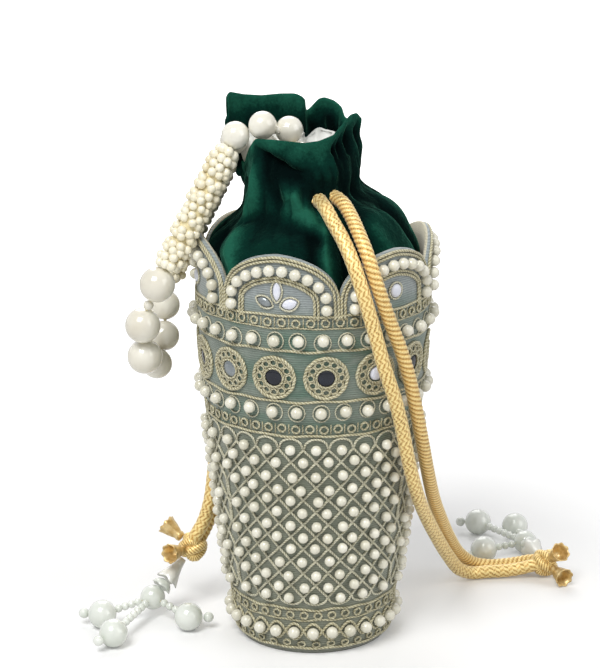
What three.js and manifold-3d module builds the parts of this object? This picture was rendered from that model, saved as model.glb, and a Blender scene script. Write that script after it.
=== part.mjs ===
// Drawstring pouch: a stiff tapered shell with six scalloped petals, a gathered velvet neck with a satin lining,
// two double drawstrings that end in pearl tassels, and a beaded wrist handle that hangs over the left rim.
// Millimetres, +Z up. The origin is the middle of the base on the standing surface, and -Y is the front.
import * as THREE from 'three';
import { mergeVertices } from 'three/addons/utils/BufferGeometryUtils.js';
import Module from 'manifold-3d';

const wasm = await Module();
wasm.setup();

// Driving dimensions
const touchGap = 0.3; // kept between pieces that touch
const petalCount = 6;
const petalTop = 149; // height of the petals' tips
const petalDepth = 15.5; // from the tips down to the notches between them
const baseRadius = 26.5; // outer radius on the standing surface
const footRound = 1.5; // the rounded foot widens this much
const footHeight = 4;
const bandRadius = 38; // outer radius where the tapered wall meets the upper band
const bandHeight = 86;
const rimRadius = 41; // outer radius of the band's top and the petals
const shellWall = 2;
const basePanelThickness = 2.4;
const liningWall = 1;
const velvetWall = 1.6;
const neckSides = 36; // facets round the velvet and the lining
const cordDiameter = 5;
const gatherRise = 13.2; // front drawstring's height above the petals' tips
const casingRadius = 16.6; // centre line of the drawstrings inside the neck
const exitTurn = 13; // degrees that the drawn neck is twisted
const frillLength = 24.8; // from the front drawstring up to the mouth's edge
const mouthRadius = 22;
const liningDrop = 10; // the lining ends this far below the mouth
const smallPearlRadius = 4.9; // pearls at the handle's ends
const largePearlRadius = 6.2; // front pearls of the handle's loop
const middlePearlRadius = 5.4; // rear pearls of the handle's loop
const spacerRadius = 1.8;
const ropeRadius = 5.5;
const ropeTaper = 4;
const dropPearlRadius = 5.2; // pearls on the tassels' strands
const hubPearlRadius = 4.6;
const seedRadius = 1.5; // small beads on the tassels' strands
const endBeadRadius = 1.9;
const knotRadius = 5.2;
const knotLength = 8.6;
const bellLength = 8;
const bellRadius = 3.7;
const coneLength = 10;
const coneRadius = 4.3;
const capLength = 3;

// Heights and radii that follow from them
const notchBottom = petalTop - petalDepth;
const rimHeight = notchBottom - 11.5;
const velvetSeam = rimHeight + 1; // lower edge of the velvet, sewn inside the shell
const shoulderStart = notchBottom + 1.5;
const gatherHeight = petalTop + gatherRise;
const mouthHeight = gatherHeight + frillLength;
const footRadius = baseRadius + footRound;
const casingPitch = cordDiameter + 2 * touchGap; // the rear drawstring lies this much higher

const group = new THREE.Group();
const finishes = {
  silk: new THREE.MeshStandardMaterial({ color: 0x8b978f, roughness: 0.75, metalness: 0.1 }),
  satin: new THREE.MeshStandardMaterial({ color: 0xf0efe8, roughness: 0.45, metalness: 0 }),
  velvet: new THREE.MeshStandardMaterial({ color: 0x0b4a38, roughness: 0.95, metalness: 0 }),
  goldCord: new THREE.MeshStandardMaterial({ color: 0xd2a860, roughness: 0.55, metalness: 0.3 }),
  goldMetal: new THREE.MeshStandardMaterial({ color: 0xc99a45, roughness: 0.3, metalness: 0.9 }),
  creamPearl: new THREE.MeshStandardMaterial({ color: 0xf3eddb, roughness: 0.2, metalness: 0.1 }),
  coolPearl: new THREE.MeshStandardMaterial({ color: 0xe3e8e2, roughness: 0.2, metalness: 0.1 }),
};

function addMesh(name, geometry, finish, position = new THREE.Vector3(), direction = null) {
  const mesh = new THREE.Mesh(geometry, finishes[finish].clone());
  mesh.name = name;
  mesh.position.copy(position);
  if (direction) {
    mesh.quaternion.setFromUnitVectors(new THREE.Vector3(0, 0, 1), direction.clone().normalize());
  }
  group.add(mesh);
  return mesh;
}

function vectors(list) {
  return list.map(([x, y, z]) => new THREE.Vector3(x, y, z));
}

// A closed profile of [radius, height] pairs, outer side first from the bottom up, turned about Z
function turned(profile, segments) {
  const points = profile.map(([radius, height]) => new THREE.Vector2(radius, height));
  return new THREE.LatheGeometry(points, segments).rotateX(Math.PI / 2);
}

// A round bar along a smooth curve through the points, with flat ends
function roundBar(points, diameter, sides, stepLength) {
  const curve = new THREE.CatmullRomCurve3(points, false, 'centripetal');
  const section = new THREE.Shape();
  for (let side = 0; side < sides; side += 1) {
    const angle = (2 * Math.PI * side) / sides;
    const x = (diameter / 2) * Math.cos(angle);
    const y = (diameter / 2) * Math.sin(angle);
    if (side === 0) section.moveTo(x, y);
    else section.lineTo(x, y);
  }
  section.closePath();
  const steps = Math.max(1, Math.round(curve.getLength() / stepLength));
  return new THREE.ExtrudeGeometry(section, { steps, extrudePath: curve, bevelEnabled: false });
}

function toSolid(geometry) {
  const bare = geometry.clone();
  bare.deleteAttribute('normal');
  bare.deleteAttribute('uv');
  const merged = mergeVertices(bare, 1e-4);
  const mesh = new wasm.Mesh({
    numProp: 3,
    vertProperties: Float32Array.from(merged.attributes.position.array),
    triVerts: Uint32Array.from(merged.index.array),
  });
  mesh.merge();
  return new wasm.Manifold(mesh);
}

function fromSolid(solid) {
  const mesh = solid.getMesh();
  const geometry = new THREE.BufferGeometry();
  geometry.setAttribute('position', new THREE.BufferAttribute(Float32Array.from(mesh.vertProperties), 3));
  geometry.setIndex(new THREE.BufferAttribute(Uint32Array.from(mesh.triVerts), 1));
  geometry.computeVertexNormals();
  return geometry;
}

// Smooth step from 0 below the start to 1 above the end
function ramp(value, start, end) {
  return THREE.MathUtils.smoothstep(value, start, end);
}

// The drawn neck leans to the left and tips: this moves a point of the upright neck to its leaning place
const neckLean = [-3.9, 0.9]; // shift of the gather
const mouthLean = [-2.4, 0.5]; // further shift of the mouth
const gatherTilt = 0.2; // rise to the right
const mouthTilt = 0.25; // rise to the rear
const dentDepth = 4.8; // where the handle's strands press the neck in
const dentDrop = 12.6; // and pull its rim down
const dentAngle = THREE.MathUtils.degToRad(155);
const dentSpread = THREE.MathUtils.degToRad(30);
function lean(point) {
  const neck = ramp(point.z, shoulderStart, gatherHeight - 2.2);
  const mouth = ramp(point.z, gatherHeight + 5.8, mouthHeight - 3);
  const angle = Math.atan2(point.y, point.x);
  let away = angle - dentAngle;
  away -= 2 * Math.PI * Math.round(away / (2 * Math.PI));
  const dent = Math.exp(-((away / dentSpread) ** 2)) * mouth;
  const radius = Math.hypot(point.x, point.y);
  const x = point.x - dent * dentDepth * (point.x / Math.max(radius, 1));
  const y = point.y - dent * dentDepth * (point.y / Math.max(radius, 1));
  return new THREE.Vector3(
    x + neckLean[0] * neck + mouthLean[0] * mouth,
    y + neckLean[1] * neck + mouthLean[1] * mouth,
    point.z + gatherTilt * point.x * neck + mouthTilt * point.y * mouth - dentDrop * dent,
  );
}

function leaned(geometry) {
  const position = geometry.attributes.position;
  const point = new THREE.Vector3();
  for (let index = 0; index < position.count; index += 1) {
    point.fromBufferAttribute(position, index);
    const moved = lean(point);
    position.setXYZ(index, moved.x, moved.y, moved.z);
  }
  return geometry;
}

// Shell: tapered wall, with the scalloped top cut by six arches
const archHalf = rimRadius * Math.tan(Math.PI / petalCount);
const bandSwell = 1.6; // the wall's further widening just above the band's start
const swellHeight = THREE.MathUtils.lerp(bandHeight, rimHeight, 7 / 18);
const shellInner = rimRadius - shellWall;
const shellProfile = [
  [baseRadius - shellWall, 0],
  [baseRadius, 0],
  [footRadius - 0.4, 1.4],
  [footRadius, footHeight],
  [bandRadius, bandHeight],
  [bandRadius + bandSwell, swellHeight],
  [rimRadius, rimHeight],
  [rimRadius, petalTop + 1],
  [shellInner, petalTop + 1],
  [shellInner, rimHeight],
  [bandRadius + bandSwell - shellWall, swellHeight],
  [bandRadius - shellWall, bandHeight],
  [footRadius - shellWall, footHeight],
  [baseRadius - shellWall, 0],
];
let shell = toSolid(turned(shellProfile, 54));
for (let notch = 0; notch < petalCount; notch += 1) {
  const outline = new THREE.Shape();
  const archSteps = 9;
  outline.moveTo(-archHalf, petalTop + 4);
  outline.lineTo(-archHalf, petalTop);
  for (let step = 1; step <= archSteps; step += 1) {
    const turn = (Math.PI / 2) * (step / archSteps);
    outline.lineTo(-archHalf + archHalf * Math.sin(turn), notchBottom + petalDepth * Math.cos(turn));
  }
  for (let step = archSteps - 1; step >= 0; step -= 1) {
    const turn = (Math.PI / 2) * (step / archSteps);
    outline.lineTo(archHalf - archHalf * Math.sin(turn), notchBottom + petalDepth * Math.cos(turn));
  }
  outline.lineTo(archHalf, petalTop + 4);
  outline.closePath();
  const cutter = new THREE.ExtrudeGeometry(outline, { depth: rimRadius, bevelEnabled: false });
  cutter.rotateX(Math.PI / 2);
  cutter.translate(0, -rimRadius / 3, 0);
  cutter.rotateZ((2 * Math.PI * notch) / petalCount);
  shell = shell.subtract(toSolid(cutter));
}
addMesh('shell_wall', fromSolid(shell), 'silk');

// Base panel, a round board inside the foot of the shell
const panelRadius = baseRadius - shellWall - touchGap;
addMesh('base_panel', turned([
  [0, 0],
  [panelRadius, 0],
  [panelRadius, basePanelThickness],
  [0, basePanelThickness],
], 48), 'silk');

// Satin lining: a cup that lies in the shell and runs up inside the velvet
const cordRoom = cordDiameter / 2 + touchGap;
const velvetInnerTop = mouthRadius - velvetWall;
const liningNeck = casingRadius - cordRoom - 2 * touchGap;
const casingLow = gatherHeight - cordRoom - 1;
const casingHigh = gatherHeight + casingPitch + cordRoom + 1;
const seamInner = shellInner - 2 * touchGap - velvetWall;
const liningFloor = basePanelThickness + touchGap;
const bandLining = bandRadius - shellWall - touchGap;
const liningShoulder = seamInner - touchGap;
const footLining = baseRadius + footRound * (liningFloor / footHeight) - shellWall - 2 * touchGap;

// A point on the rounded shoulder between the shell's rim and the drawn neck
function shoulder(rimSide, neckSide, inward, upward) {
  return [
    THREE.MathUtils.lerp(rimSide, neckSide, inward),
    THREE.MathUtils.lerp(shoulderStart, casingLow, upward),
  ];
}

const liningOuter = [
  [footLining, liningFloor],
  [footRadius - shellWall - touchGap, footHeight + 2 * touchGap],
  [bandLining, bandHeight],
  [bandLining + bandSwell - touchGap, swellHeight],
  [liningShoulder, velvetSeam - 4],
  [liningShoulder, shoulderStart - 1],
  shoulder(liningShoulder, liningNeck, 0.124, 0.342),
  shoulder(liningShoulder, liningNeck, 0.322, 0.62),
  shoulder(liningShoulder, liningNeck, 0.622, 0.838),
  [liningNeck, casingLow],
  [liningNeck, gatherHeight],
  [liningNeck, gatherHeight + casingPitch],
  [liningNeck, casingHigh],
  [velvetInnerTop - touchGap - 1, casingHigh + 2.5],
  [velvetInnerTop - touchGap, mouthHeight - liningDrop],
];
const liningInner = liningOuter.map(([radius, height]) => [radius - liningWall, height]);
liningInner[0] = [liningOuter[0][0] - liningWall, liningFloor + liningWall];
addMesh('satin_lining', leaned(turned([
  [0, liningFloor],
  ...liningOuter,
  ...liningInner.reverse(),
  [0, liningFloor + liningWall],
], neckSides)), 'satin');

// Velvet neck: sewn inside the shell, full at the shoulder, drawn in at the casing, open at the mouth
const velvetOuterNeck = casingRadius + cordRoom + velvetWall;
const velvetShoulder = shellInner - touchGap;
const velvetOuter = [
  [velvetShoulder, velvetSeam],
  [velvetShoulder, shoulderStart],
  shoulder(velvetShoulder, velvetOuterNeck, 0.107, 0.363),
  shoulder(velvetShoulder, velvetOuterNeck, 0.322, 0.662),
  shoulder(velvetShoulder, velvetOuterNeck, 0.605, 0.876),
  [velvetOuterNeck, casingLow],
  [velvetOuterNeck, gatherHeight],
  [velvetOuterNeck, gatherHeight + casingPitch],
  [velvetOuterNeck, casingHigh],
  [mouthRadius, casingHigh + 4],
  [mouthRadius, mouthHeight],
];
const velvetInner = velvetOuter.map(([radius, height]) => [radius - velvetWall, height]);
const exitOffset = 2.9; // half the distance between a drawstring's two ends where they leave the neck
const casingTurn = THREE.MathUtils.degToRad(exitTurn);

// Centre line of one drawstring inside the neck: round the casing, with both ends turned out of the exit
function casingLine(height, turn, reach) {
  const bend = casingRadius - 0.9;
  const points = [[exitOffset, -reach], [exitOffset + 0.1, -reach + 2.6], [6.6, -bend]];
  for (let angle = 50; angle <= 310; angle += 20) {
    const around = THREE.MathUtils.degToRad(angle);
    points.push([casingRadius * Math.sin(around), -casingRadius * Math.cos(around)]);
  }
  points.push([-6.6, -bend], [-exitOffset - 0.1, -reach + 2.6], [-exitOffset, -reach]);
  return points.map(([x, y]) => {
    const flat = new THREE.Vector3(x, y, height).applyAxisAngle(new THREE.Vector3(0, 0, 1), turn);
    return lean(flat);
  });
}

const casings = [
  { name: 'front_casing_cord', height: gatherHeight, turn: casingTurn },
  { name: 'rear_casing_cord', height: gatherHeight + casingPitch, turn: casingTurn + Math.PI },
];
let velvet = toSolid(leaned(turned([...velvetOuter, ...velvetInner.reverse(), velvetOuter[0]], neckSides)));
for (const { name, height, turn } of casings) {
  const through = casingLine(height, turn, velvetOuterNeck + 2);
  for (const end of [through.slice(0, 4), through.slice(-4)]) {
    velvet = velvet.subtract(toSolid(roundBar(end, cordDiameter + 4 * touchGap, 8, 2.5)));
  }
  addMesh(name, roundBar(casingLine(height, turn, velvetOuterNeck + 0.2), cordDiameter, 8, 5), 'goldCord');
}
addMesh('velvet_neck', fromSolid(velvet), 'velvet');

// Free drawstrings, as they fall over the shell and lie on the standing surface
const cordRoutes = {
  front_cord_a: [
    [-1.75, -21.6, 162.6], [-1.3, -25.6, 161.6], [-0.1, -31.2, 158.2], [1.8, -37.4, 153.6], [3.6, -43.4, 147.6],
    [6.3, -46.2, 138.3], [10.6, -45.8, 124], [15, -44.4, 109.2], [19.2, -42, 97.5], [22.9, -38.4, 85.1],
    [26.2, -34.4, 72.5], [31.2, -27, 58.4], [38.3, -13.5, 44.3], [46.9, 1.8, 29.6], [55.8, 16.6, 15.6],
    [63, 26, 6.1], [69, 29.3, 2.9], [75.8, 29.3, 2.8], [81.8, 28.6, 2.9], [87.6, 27.6, 3.7], [92, 26.2, 5.1],
  ],
  front_cord_b: [
    [3.9, -19.9, 163.7], [5, -24.2, 163], [6.3, -30.2, 159.8], [7.4, -37.2, 155.2], [9, -43, 149],
    [11.8, -45.4, 139.2], [16.4, -43.9, 126.7], [20.6, -41.9, 116.5], [24.4, -39.7, 105.7], [28.4, -35.8, 91.4],
    [32.2, -30.2, 78], [37, -20.6, 63.2], [43.4, -6.4, 47.4], [49.8, 6, 34.6], [57.2, 20, 21.4],
    [64.4, 30.9, 10.6], [71.4, 35.6, 4.4], [77.6, 35.6, 2.9], [83.4, 35, 2.9], [89, 33.8, 3.7], [93.6, 31.4, 5.1],
  ],
  rear_cord_a: [
    [-12, 21.6, 166.3], [-12.9, 25.8, 165.2], [-13.2, 29.6, 161.4], [-13.4, 33.6, 156.4], [-13, 38.6, 152],
    [-12.3, 43.6, 147.2], [-12.8, 45.2, 138], [-14.6, 44.9, 129], [-17.6, 43.6, 118], [-22, 40.9, 100],
    [-26.7, 35.9, 82], [-29.7, 30.9, 66], [-31.8, 26.4, 52], [-33.6, 25, 41.6], [-36, 25.8, 33.4],
    [-38.9, 26.3, 27.9],
  ],
  rear_cord_b: [
    [-6.3, 22.9, 167.4], [-7.2, 27.2, 166.2], [-7.4, 31.2, 162.2], [-7.4, 35.6, 157], [-7, 40.4, 151.8],
    [-6.4, 44.8, 145.6], [-7.2, 46.6, 137], [-9, 46.5, 129], [-12, 45.6, 118], [-16.5, 43.6, 100],
    [-21.3, 38.9, 82], [-24.8, 34.4, 66], [-27.8, 30.6, 52], [-30, 29.4, 41.6], [-32.8, 30.4, 32.8],
    [-35.7, 30.7, 26.6],
  ],
};
for (const [name, route] of Object.entries(cordRoutes)) {
  addMesh(name, roundBar(vectors(route), cordDiameter, 8, 2.4 * cordDiameter), 'goldCord');
}

function pearl(name, radius, position, finish) {
  const around = radius > 3 ? 12 : 7;
  const down = radius > 3 ? 7 : 5;
  addMesh(name, new THREE.SphereGeometry(radius, around, down).rotateX(Math.PI / 2), finish, position);
}

// Places for beads of the given radii, strung one after another along a curve
function strung(curve, radii, startReach) {
  const places = [];
  let last = curve.getPoint(0);
  let reach = startReach;
  let at = 0;
  for (const radius of radii) {
    while (at < 1 && curve.getPoint(at).distanceTo(last) < reach + radius + touchGap) at += 0.0005;
    last = curve.getPoint(at);
    places.push(last);
    reach = radius;
  }
  return places;
}

// Handle: front strand over the left rim, rope, loop of large pearls, rope, and back over the rim
const mouthCentre = [neckLean[0] + mouthLean[0], neckLean[1] + mouthLean[1]];
function onRim(degrees, outward, height) {
  const angle = THREE.MathUtils.degToRad(degrees);
  const reach = mouthRadius + outward;
  return new THREE.Vector3(
    mouthCentre[0] + reach * Math.cos(angle),
    mouthCentre[1] + reach * Math.sin(angle),
    height,
  );
}

const rimPearlFront = onRim(185.1, -0.7, mouthHeight - 3.6);
const rimPearlRear = onRim(149.9, 0.3, mouthHeight - 8.1);
const mouthPearls = vectors([
  [3.5 - mouthRadius, -3, mouthHeight],
  [13.2 - mouthRadius, -1.2, mouthHeight - 2.4],
  [15.4 - mouthRadius, -7.2, mouthHeight - 10.2],
  [6.6 - mouthRadius, 7.8, mouthHeight - 10],
]);
pearl('rim_pearl_front', smallPearlRadius, rimPearlFront, 'creamPearl');
pearl('rim_pearl_rear', smallPearlRadius, rimPearlRear, 'creamPearl');
mouthPearls.forEach((place, index) => pearl(`mouth_pearl_${index + 1}`, smallPearlRadius, place, 'creamPearl'));

function rope(name, from, to) {
  const line = to.clone().sub(from);
  const length = line.length();
  addMesh(name, turned([
    [0, 0],
    [ropeRadius * 0.72, 0],
    [ropeRadius, ropeTaper],
    [ropeRadius, length - ropeTaper],
    [ropeRadius * 0.72, length],
    [0, length],
  ], 14), 'creamPearl', from, line);
}

function beyond(from, to, distance) {
  return from.clone().add(to.clone().sub(from).normalize().multiplyScalar(distance));
}

// The front rope ends below the petals' tips, far enough out to pass clear of them
const ropeDrop = 10.4;
const tipSide = 0.28; // the rope passes beside the tip, where the petal curves away
const ropeSlope = (rimRadius + ropeRadius + rimPearlFront.x) / (rimPearlFront.z - petalTop);
const rimClear = rimRadius + ropeRadius * Math.hypot(1, ropeSlope) - tipSide;
const passShare = (rimPearlFront.z - petalTop) / (rimPearlFront.z - petalTop + ropeDrop);
const ropeEndX = rimPearlFront.x - (rimClear + rimPearlFront.x) / passShare;
const loopRoute = vectors([
  [0, -4.3, 0], [-3.5, -4, -6.2], [-8.1, 0.3, -22.2], [-6.6, 3.8, -34.2], [-1.1, 12.6, -38.8],
  [2.6, 18.9, -30], [3.6, 23.2, -19.6], [4.5, 28.8, -10.6], [5.1, 29, -4.6],
]);
loopRoute.forEach((place) => place.add(new THREE.Vector3(ropeEndX, 0, petalTop - ropeDrop)));
const frontRopeEnd = loopRoute[0];
const loopGuide = new THREE.CatmullRomCurve3(loopRoute, false, 'centripetal');
rope('rope_front', beyond(rimPearlFront, frontRopeEnd, smallPearlRadius + touchGap), frontRopeEnd);
const loopBeads = [
  ['loop_pearl_1', largePearlRadius],
  ['spacer_bead_1', spacerRadius],
  ['loop_pearl_2', largePearlRadius],
  ['loop_pearl_3', largePearlRadius],
  ['loop_pearl_4', middlePearlRadius],
  ['loop_pearl_5', middlePearlRadius],
  ['loop_pearl_6', middlePearlRadius],
  ['spacer_bead_2', spacerRadius],
];
const loopPlaces = strung(loopGuide, loopBeads.map(([, radius]) => radius), 0);
loopBeads.forEach(([name, radius], index) => pearl(name, radius, loopPlaces[index], 'creamPearl'));
const lastBead = loopPlaces[loopPlaces.length - 1];
rope(
  'rope_rear',
  beyond(rimPearlRear, lastBead, smallPearlRadius + touchGap),
  beyond(lastBead, rimPearlRear, spacerRadius + touchGap),
);

// A strand of small beads on a thread between two pearls
function seedStrand(name, from, fromRadius, to, toRadius) {
  const start = beyond(from, to, fromRadius + touchGap);
  const end = beyond(to, from, toRadius + touchGap);
  const length = start.distanceTo(end);
  const count = Math.max(1, Math.round(length / (2.1 * seedRadius)));
  const pitch = length / count;
  const profile = [[0, 0]];
  for (let bead = 0; bead < count; bead += 1) {
    const low = bead * pitch;
    profile.push([0.7, low]);
    profile.push([seedRadius, low + pitch * 0.35]);
    profile.push([seedRadius, low + pitch * 0.65]);
  }
  profile.push([0.7, length]);
  profile.push([0, length]);
  addMesh(name, turned(profile, 7), 'coolPearl', start, end.clone().sub(start));
}

// A small bell cap, open at its wide end, that stands off the knot in the given direction
function bell(name, knot, direction) {
  const wall = 0.6;
  const start = knot.clone().add(direction.clone().normalize().multiplyScalar(knotRadius + touchGap));
  addMesh(name, turned([
    [0, 0],
    [1.8, 0],
    [2.4, bellLength * 0.4],
    [bellRadius, bellLength],
    [bellRadius - wall, bellLength],
    [1.6, bellLength * 0.45],
    [0, bellLength * 0.4],
  ], 10), 'goldMetal', start, direction);
}

// A tassel: knot with two bell caps, a lily cone, a round cap, the hub pearl and three strands that end in pearls
function tassel(side, plan) {
  const [knot, hub] = vectors([plan.knot, plan.hub]);
  const cordSide = new THREE.Vector3(...plan.cordFrom).sub(knot).normalize();
  addMesh(`${side}_knot`, turned([
    [0, 0],
    [knotRadius * 0.88, 0],
    [knotRadius, knotLength * 0.3],
    [knotRadius, knotLength * 0.65],
    [knotRadius * 0.6, knotLength],
    [0, knotLength],
  ], 12), 'goldCord', knot.clone().addScaledVector(cordSide, knotLength / 2), cordSide.clone().negate());
  plan.bells.forEach((towards, index) => {
    bell(`${side}_bell_${index + 1}`, knot, new THREE.Vector3(...towards));
  });
  const axis = hub.clone().sub(knot).normalize();
  const hubBack = hub.clone().addScaledVector(axis, -hubPearlRadius - touchGap);
  const capStart = hubBack.clone().addScaledVector(axis, -capLength);
  const coneStart = capStart.clone().addScaledVector(axis, -coneLength - touchGap);
  addMesh(`${side}_cone`, turned([
    [0, 0],
    [1.3, 0],
    [coneRadius * 0.62, coneLength * 0.55],
    [coneRadius, coneLength],
    [0, coneLength],
  ], 12), 'coolPearl', coneStart, axis);
  addMesh(`${side}_cap`, turned([
    [0, 0],
    [1.6, 0],
    [coneRadius * 0.9, capLength * 0.6],
    [coneRadius * 0.9, capLength],
    [0, capLength],
  ], 12), 'coolPearl', capStart, axis);
  pearl(`${side}_hub_pearl`, hubPearlRadius, hub, 'coolPearl');
  plan.drops.forEach(({ at, endBead }, index) => {
    const place = new THREE.Vector3(...at);
    seedStrand(`${side}_seeds_${index + 1}`, hub, hubPearlRadius, place, dropPearlRadius);
    pearl(`${side}_drop_${index + 1}`, dropPearlRadius, place, 'coolPearl');
    const tip = beyond(place, new THREE.Vector3(...endBead), dropPearlRadius + endBeadRadius + touchGap);
    pearl(`${side}_tip_${index + 1}`, endBeadRadius, tip, 'coolPearl');
  });
}

tassel('right', {
  knot: [97.6, 26.8, 5.6],
  cordFrom: [92.9, 28.8, 5.1],
  hub: [97.3, 51.6, 4.9],
  bells: [[0.185, -0.78, 0.6], [0.26, -0.96, -0.13]],
  drops: [
    { at: [85.2, 76.6, 5.3], endBead: [80.1, 79.9, 4.6] },
    { at: [78.7, 46.4, 5.3], endBead: [74.1, 45.1, 4.6] },
    { at: [98.4, 69, 5.3], endBead: [101.4, 74, 4.6] },
  ],
});
tassel('left', {
  knot: [-39.6, 28.6, 22.8],
  cordFrom: [-37.5, 28.5, 26.7],
  hub: [-56, 21.6, 7],
  bells: [[-0.56, 0.48, 0.45], [-0.76, -0.65, 0.1]],
  drops: [
    { at: [-75.9, 13.6, 5.3], endBead: [-82.3, 17.7, 4.6] },
    { at: [-74.4, -4.8, 5.3], endBead: [-80.6, -9.2, 4.6] },
    { at: [-45.6, 4.4, 5.3], endBead: [-39.2, 4.2, 4.6] },
  ],
});

export default group;
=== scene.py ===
import math
import bpy
import numpy as np
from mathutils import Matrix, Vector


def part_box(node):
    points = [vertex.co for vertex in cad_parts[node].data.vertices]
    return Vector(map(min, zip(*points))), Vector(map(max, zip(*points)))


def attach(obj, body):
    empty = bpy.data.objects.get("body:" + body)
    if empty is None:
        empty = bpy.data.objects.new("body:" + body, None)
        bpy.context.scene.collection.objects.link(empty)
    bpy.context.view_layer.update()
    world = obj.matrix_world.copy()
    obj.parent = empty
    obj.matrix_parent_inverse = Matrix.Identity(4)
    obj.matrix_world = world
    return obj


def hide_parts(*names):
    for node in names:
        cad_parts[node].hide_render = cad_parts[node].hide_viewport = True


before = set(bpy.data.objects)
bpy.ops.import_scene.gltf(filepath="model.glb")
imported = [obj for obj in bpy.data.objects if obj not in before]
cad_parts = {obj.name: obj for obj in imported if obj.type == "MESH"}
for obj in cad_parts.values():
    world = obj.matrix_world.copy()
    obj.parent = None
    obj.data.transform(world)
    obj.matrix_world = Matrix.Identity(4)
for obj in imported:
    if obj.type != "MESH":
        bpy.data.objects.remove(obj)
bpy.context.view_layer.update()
scene = bpy.context.scene
mm = 0.001
tau = 2 * math.pi


# Camera

viewSettings = {
    "place": (-178.4, -798.3, 343.0),
    "turn": 12.6,  # degrees, towards +X from the pouch's front
    "pitch": 15.86,  # degrees, looking down
    "lens": 129.34,
    "shift": -0.0202,
}


# The camera looks along (sin turn cos pitch, cos turn cos pitch, -sin pitch).
def placeCamera(settings):
    data = bpy.data.cameras.new("camera")
    camera = bpy.data.objects.new("camera", data)
    scene.collection.objects.link(camera)
    camera.location = [mm * value for value in settings["place"]]
    camera.rotation_euler = (math.radians(90 - settings["pitch"]), 0, -math.radians(settings["turn"]))
    data.lens = settings["lens"]
    data.shift_x = settings["shift"]
    data.clip_start = 0.01
    scene.camera = camera


placeCamera(viewSettings)
scene.view_settings.view_transform = "Standard"
print("camera placed")


# Mesh helpers

def unit(vectors):
    return vectors / np.maximum(np.linalg.norm(vectors, axis=-1, keepdims=True), 1e-12)


def evenAngles(count, start=0.0):
    return start + tau * np.arange(count) / count


# How far along a line each of its points lies
def reachAlong(line):
    return np.concatenate([[0], np.cumsum(np.linalg.norm(np.diff(line, axis=0), axis=1))])


# One mesh object from sets of arrays: points in mm, four- and three-cornered faces, and the UV pairs of
# their corners. The faces are turned over if the volume they enclose, the sum of a . (b x c) / 6, is
# negative.
def makePiece(name, parts, finish, body="bag", crest=None, nodes=()):
    starts = np.cumsum([0] + [len(part[0]) for part in parts])
    points = np.concatenate([part[0] for part in parts]) * mm
    quads, triangles = (np.concatenate([part[kind] + start for part, start in zip(parts, starts)])
                        for kind in (1, 2))
    quadUvs, triangleUvs = (np.concatenate([part[kind] for part in parts]) for kind in (3, 4))
    fans = np.concatenate([quads[:, [0, 1, 2]], quads[:, [0, 2, 3]], triangles])
    a, b, c = (points[fans[:, corner]] for corner in range(3))
    if np.einsum("ij,ij->i", a, np.cross(b, c)).sum() < 0:
        quads, triangles, quadUvs, triangleUvs = (
            rows[:, ::-1] for rows in (quads, triangles, quadUvs, triangleUvs))
    corners = np.concatenate([quads.ravel(), triangles.ravel()])
    sizes = np.repeat([4, 3], [len(quads), len(triangles)])
    mesh = bpy.data.meshes.new(name)
    mesh.vertices.add(len(points))
    mesh.vertices.foreach_set("co", points.ravel())
    mesh.loops.add(len(corners))
    mesh.loops.foreach_set("vertex_index", corners)
    mesh.polygons.add(len(sizes))
    mesh.polygons.foreach_set("loop_start", np.cumsum(sizes) - sizes)
    mesh.polygons.foreach_set("use_smooth", np.ones(len(sizes), dtype=bool))
    layer = mesh.uv_layers.new(name="UVMap")
    layer.data.foreach_set("uv", np.concatenate([quadUvs.ravel(), triangleUvs.ravel()]))
    # The crest value, stored on the points, is painted by the finishes as shade in hollows and light on
    # crests
    if crest is not None:
        values = np.zeros(len(points), dtype=np.float32)
        values[:crest.size] = crest.ravel()
        mesh.attributes.new("crest", "FLOAT", "POINT").data.foreach_set("value", values)
    mesh.update()
    mesh.validate()
    for item in finish if isinstance(finish, list) else [finish]:
        mesh.materials.append(item)
    piece = bpy.data.objects.new(name, mesh)
    scene.collection.objects.link(piece)
    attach(piece, body)
    if nodes:
        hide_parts(*nodes)
    return piece


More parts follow.
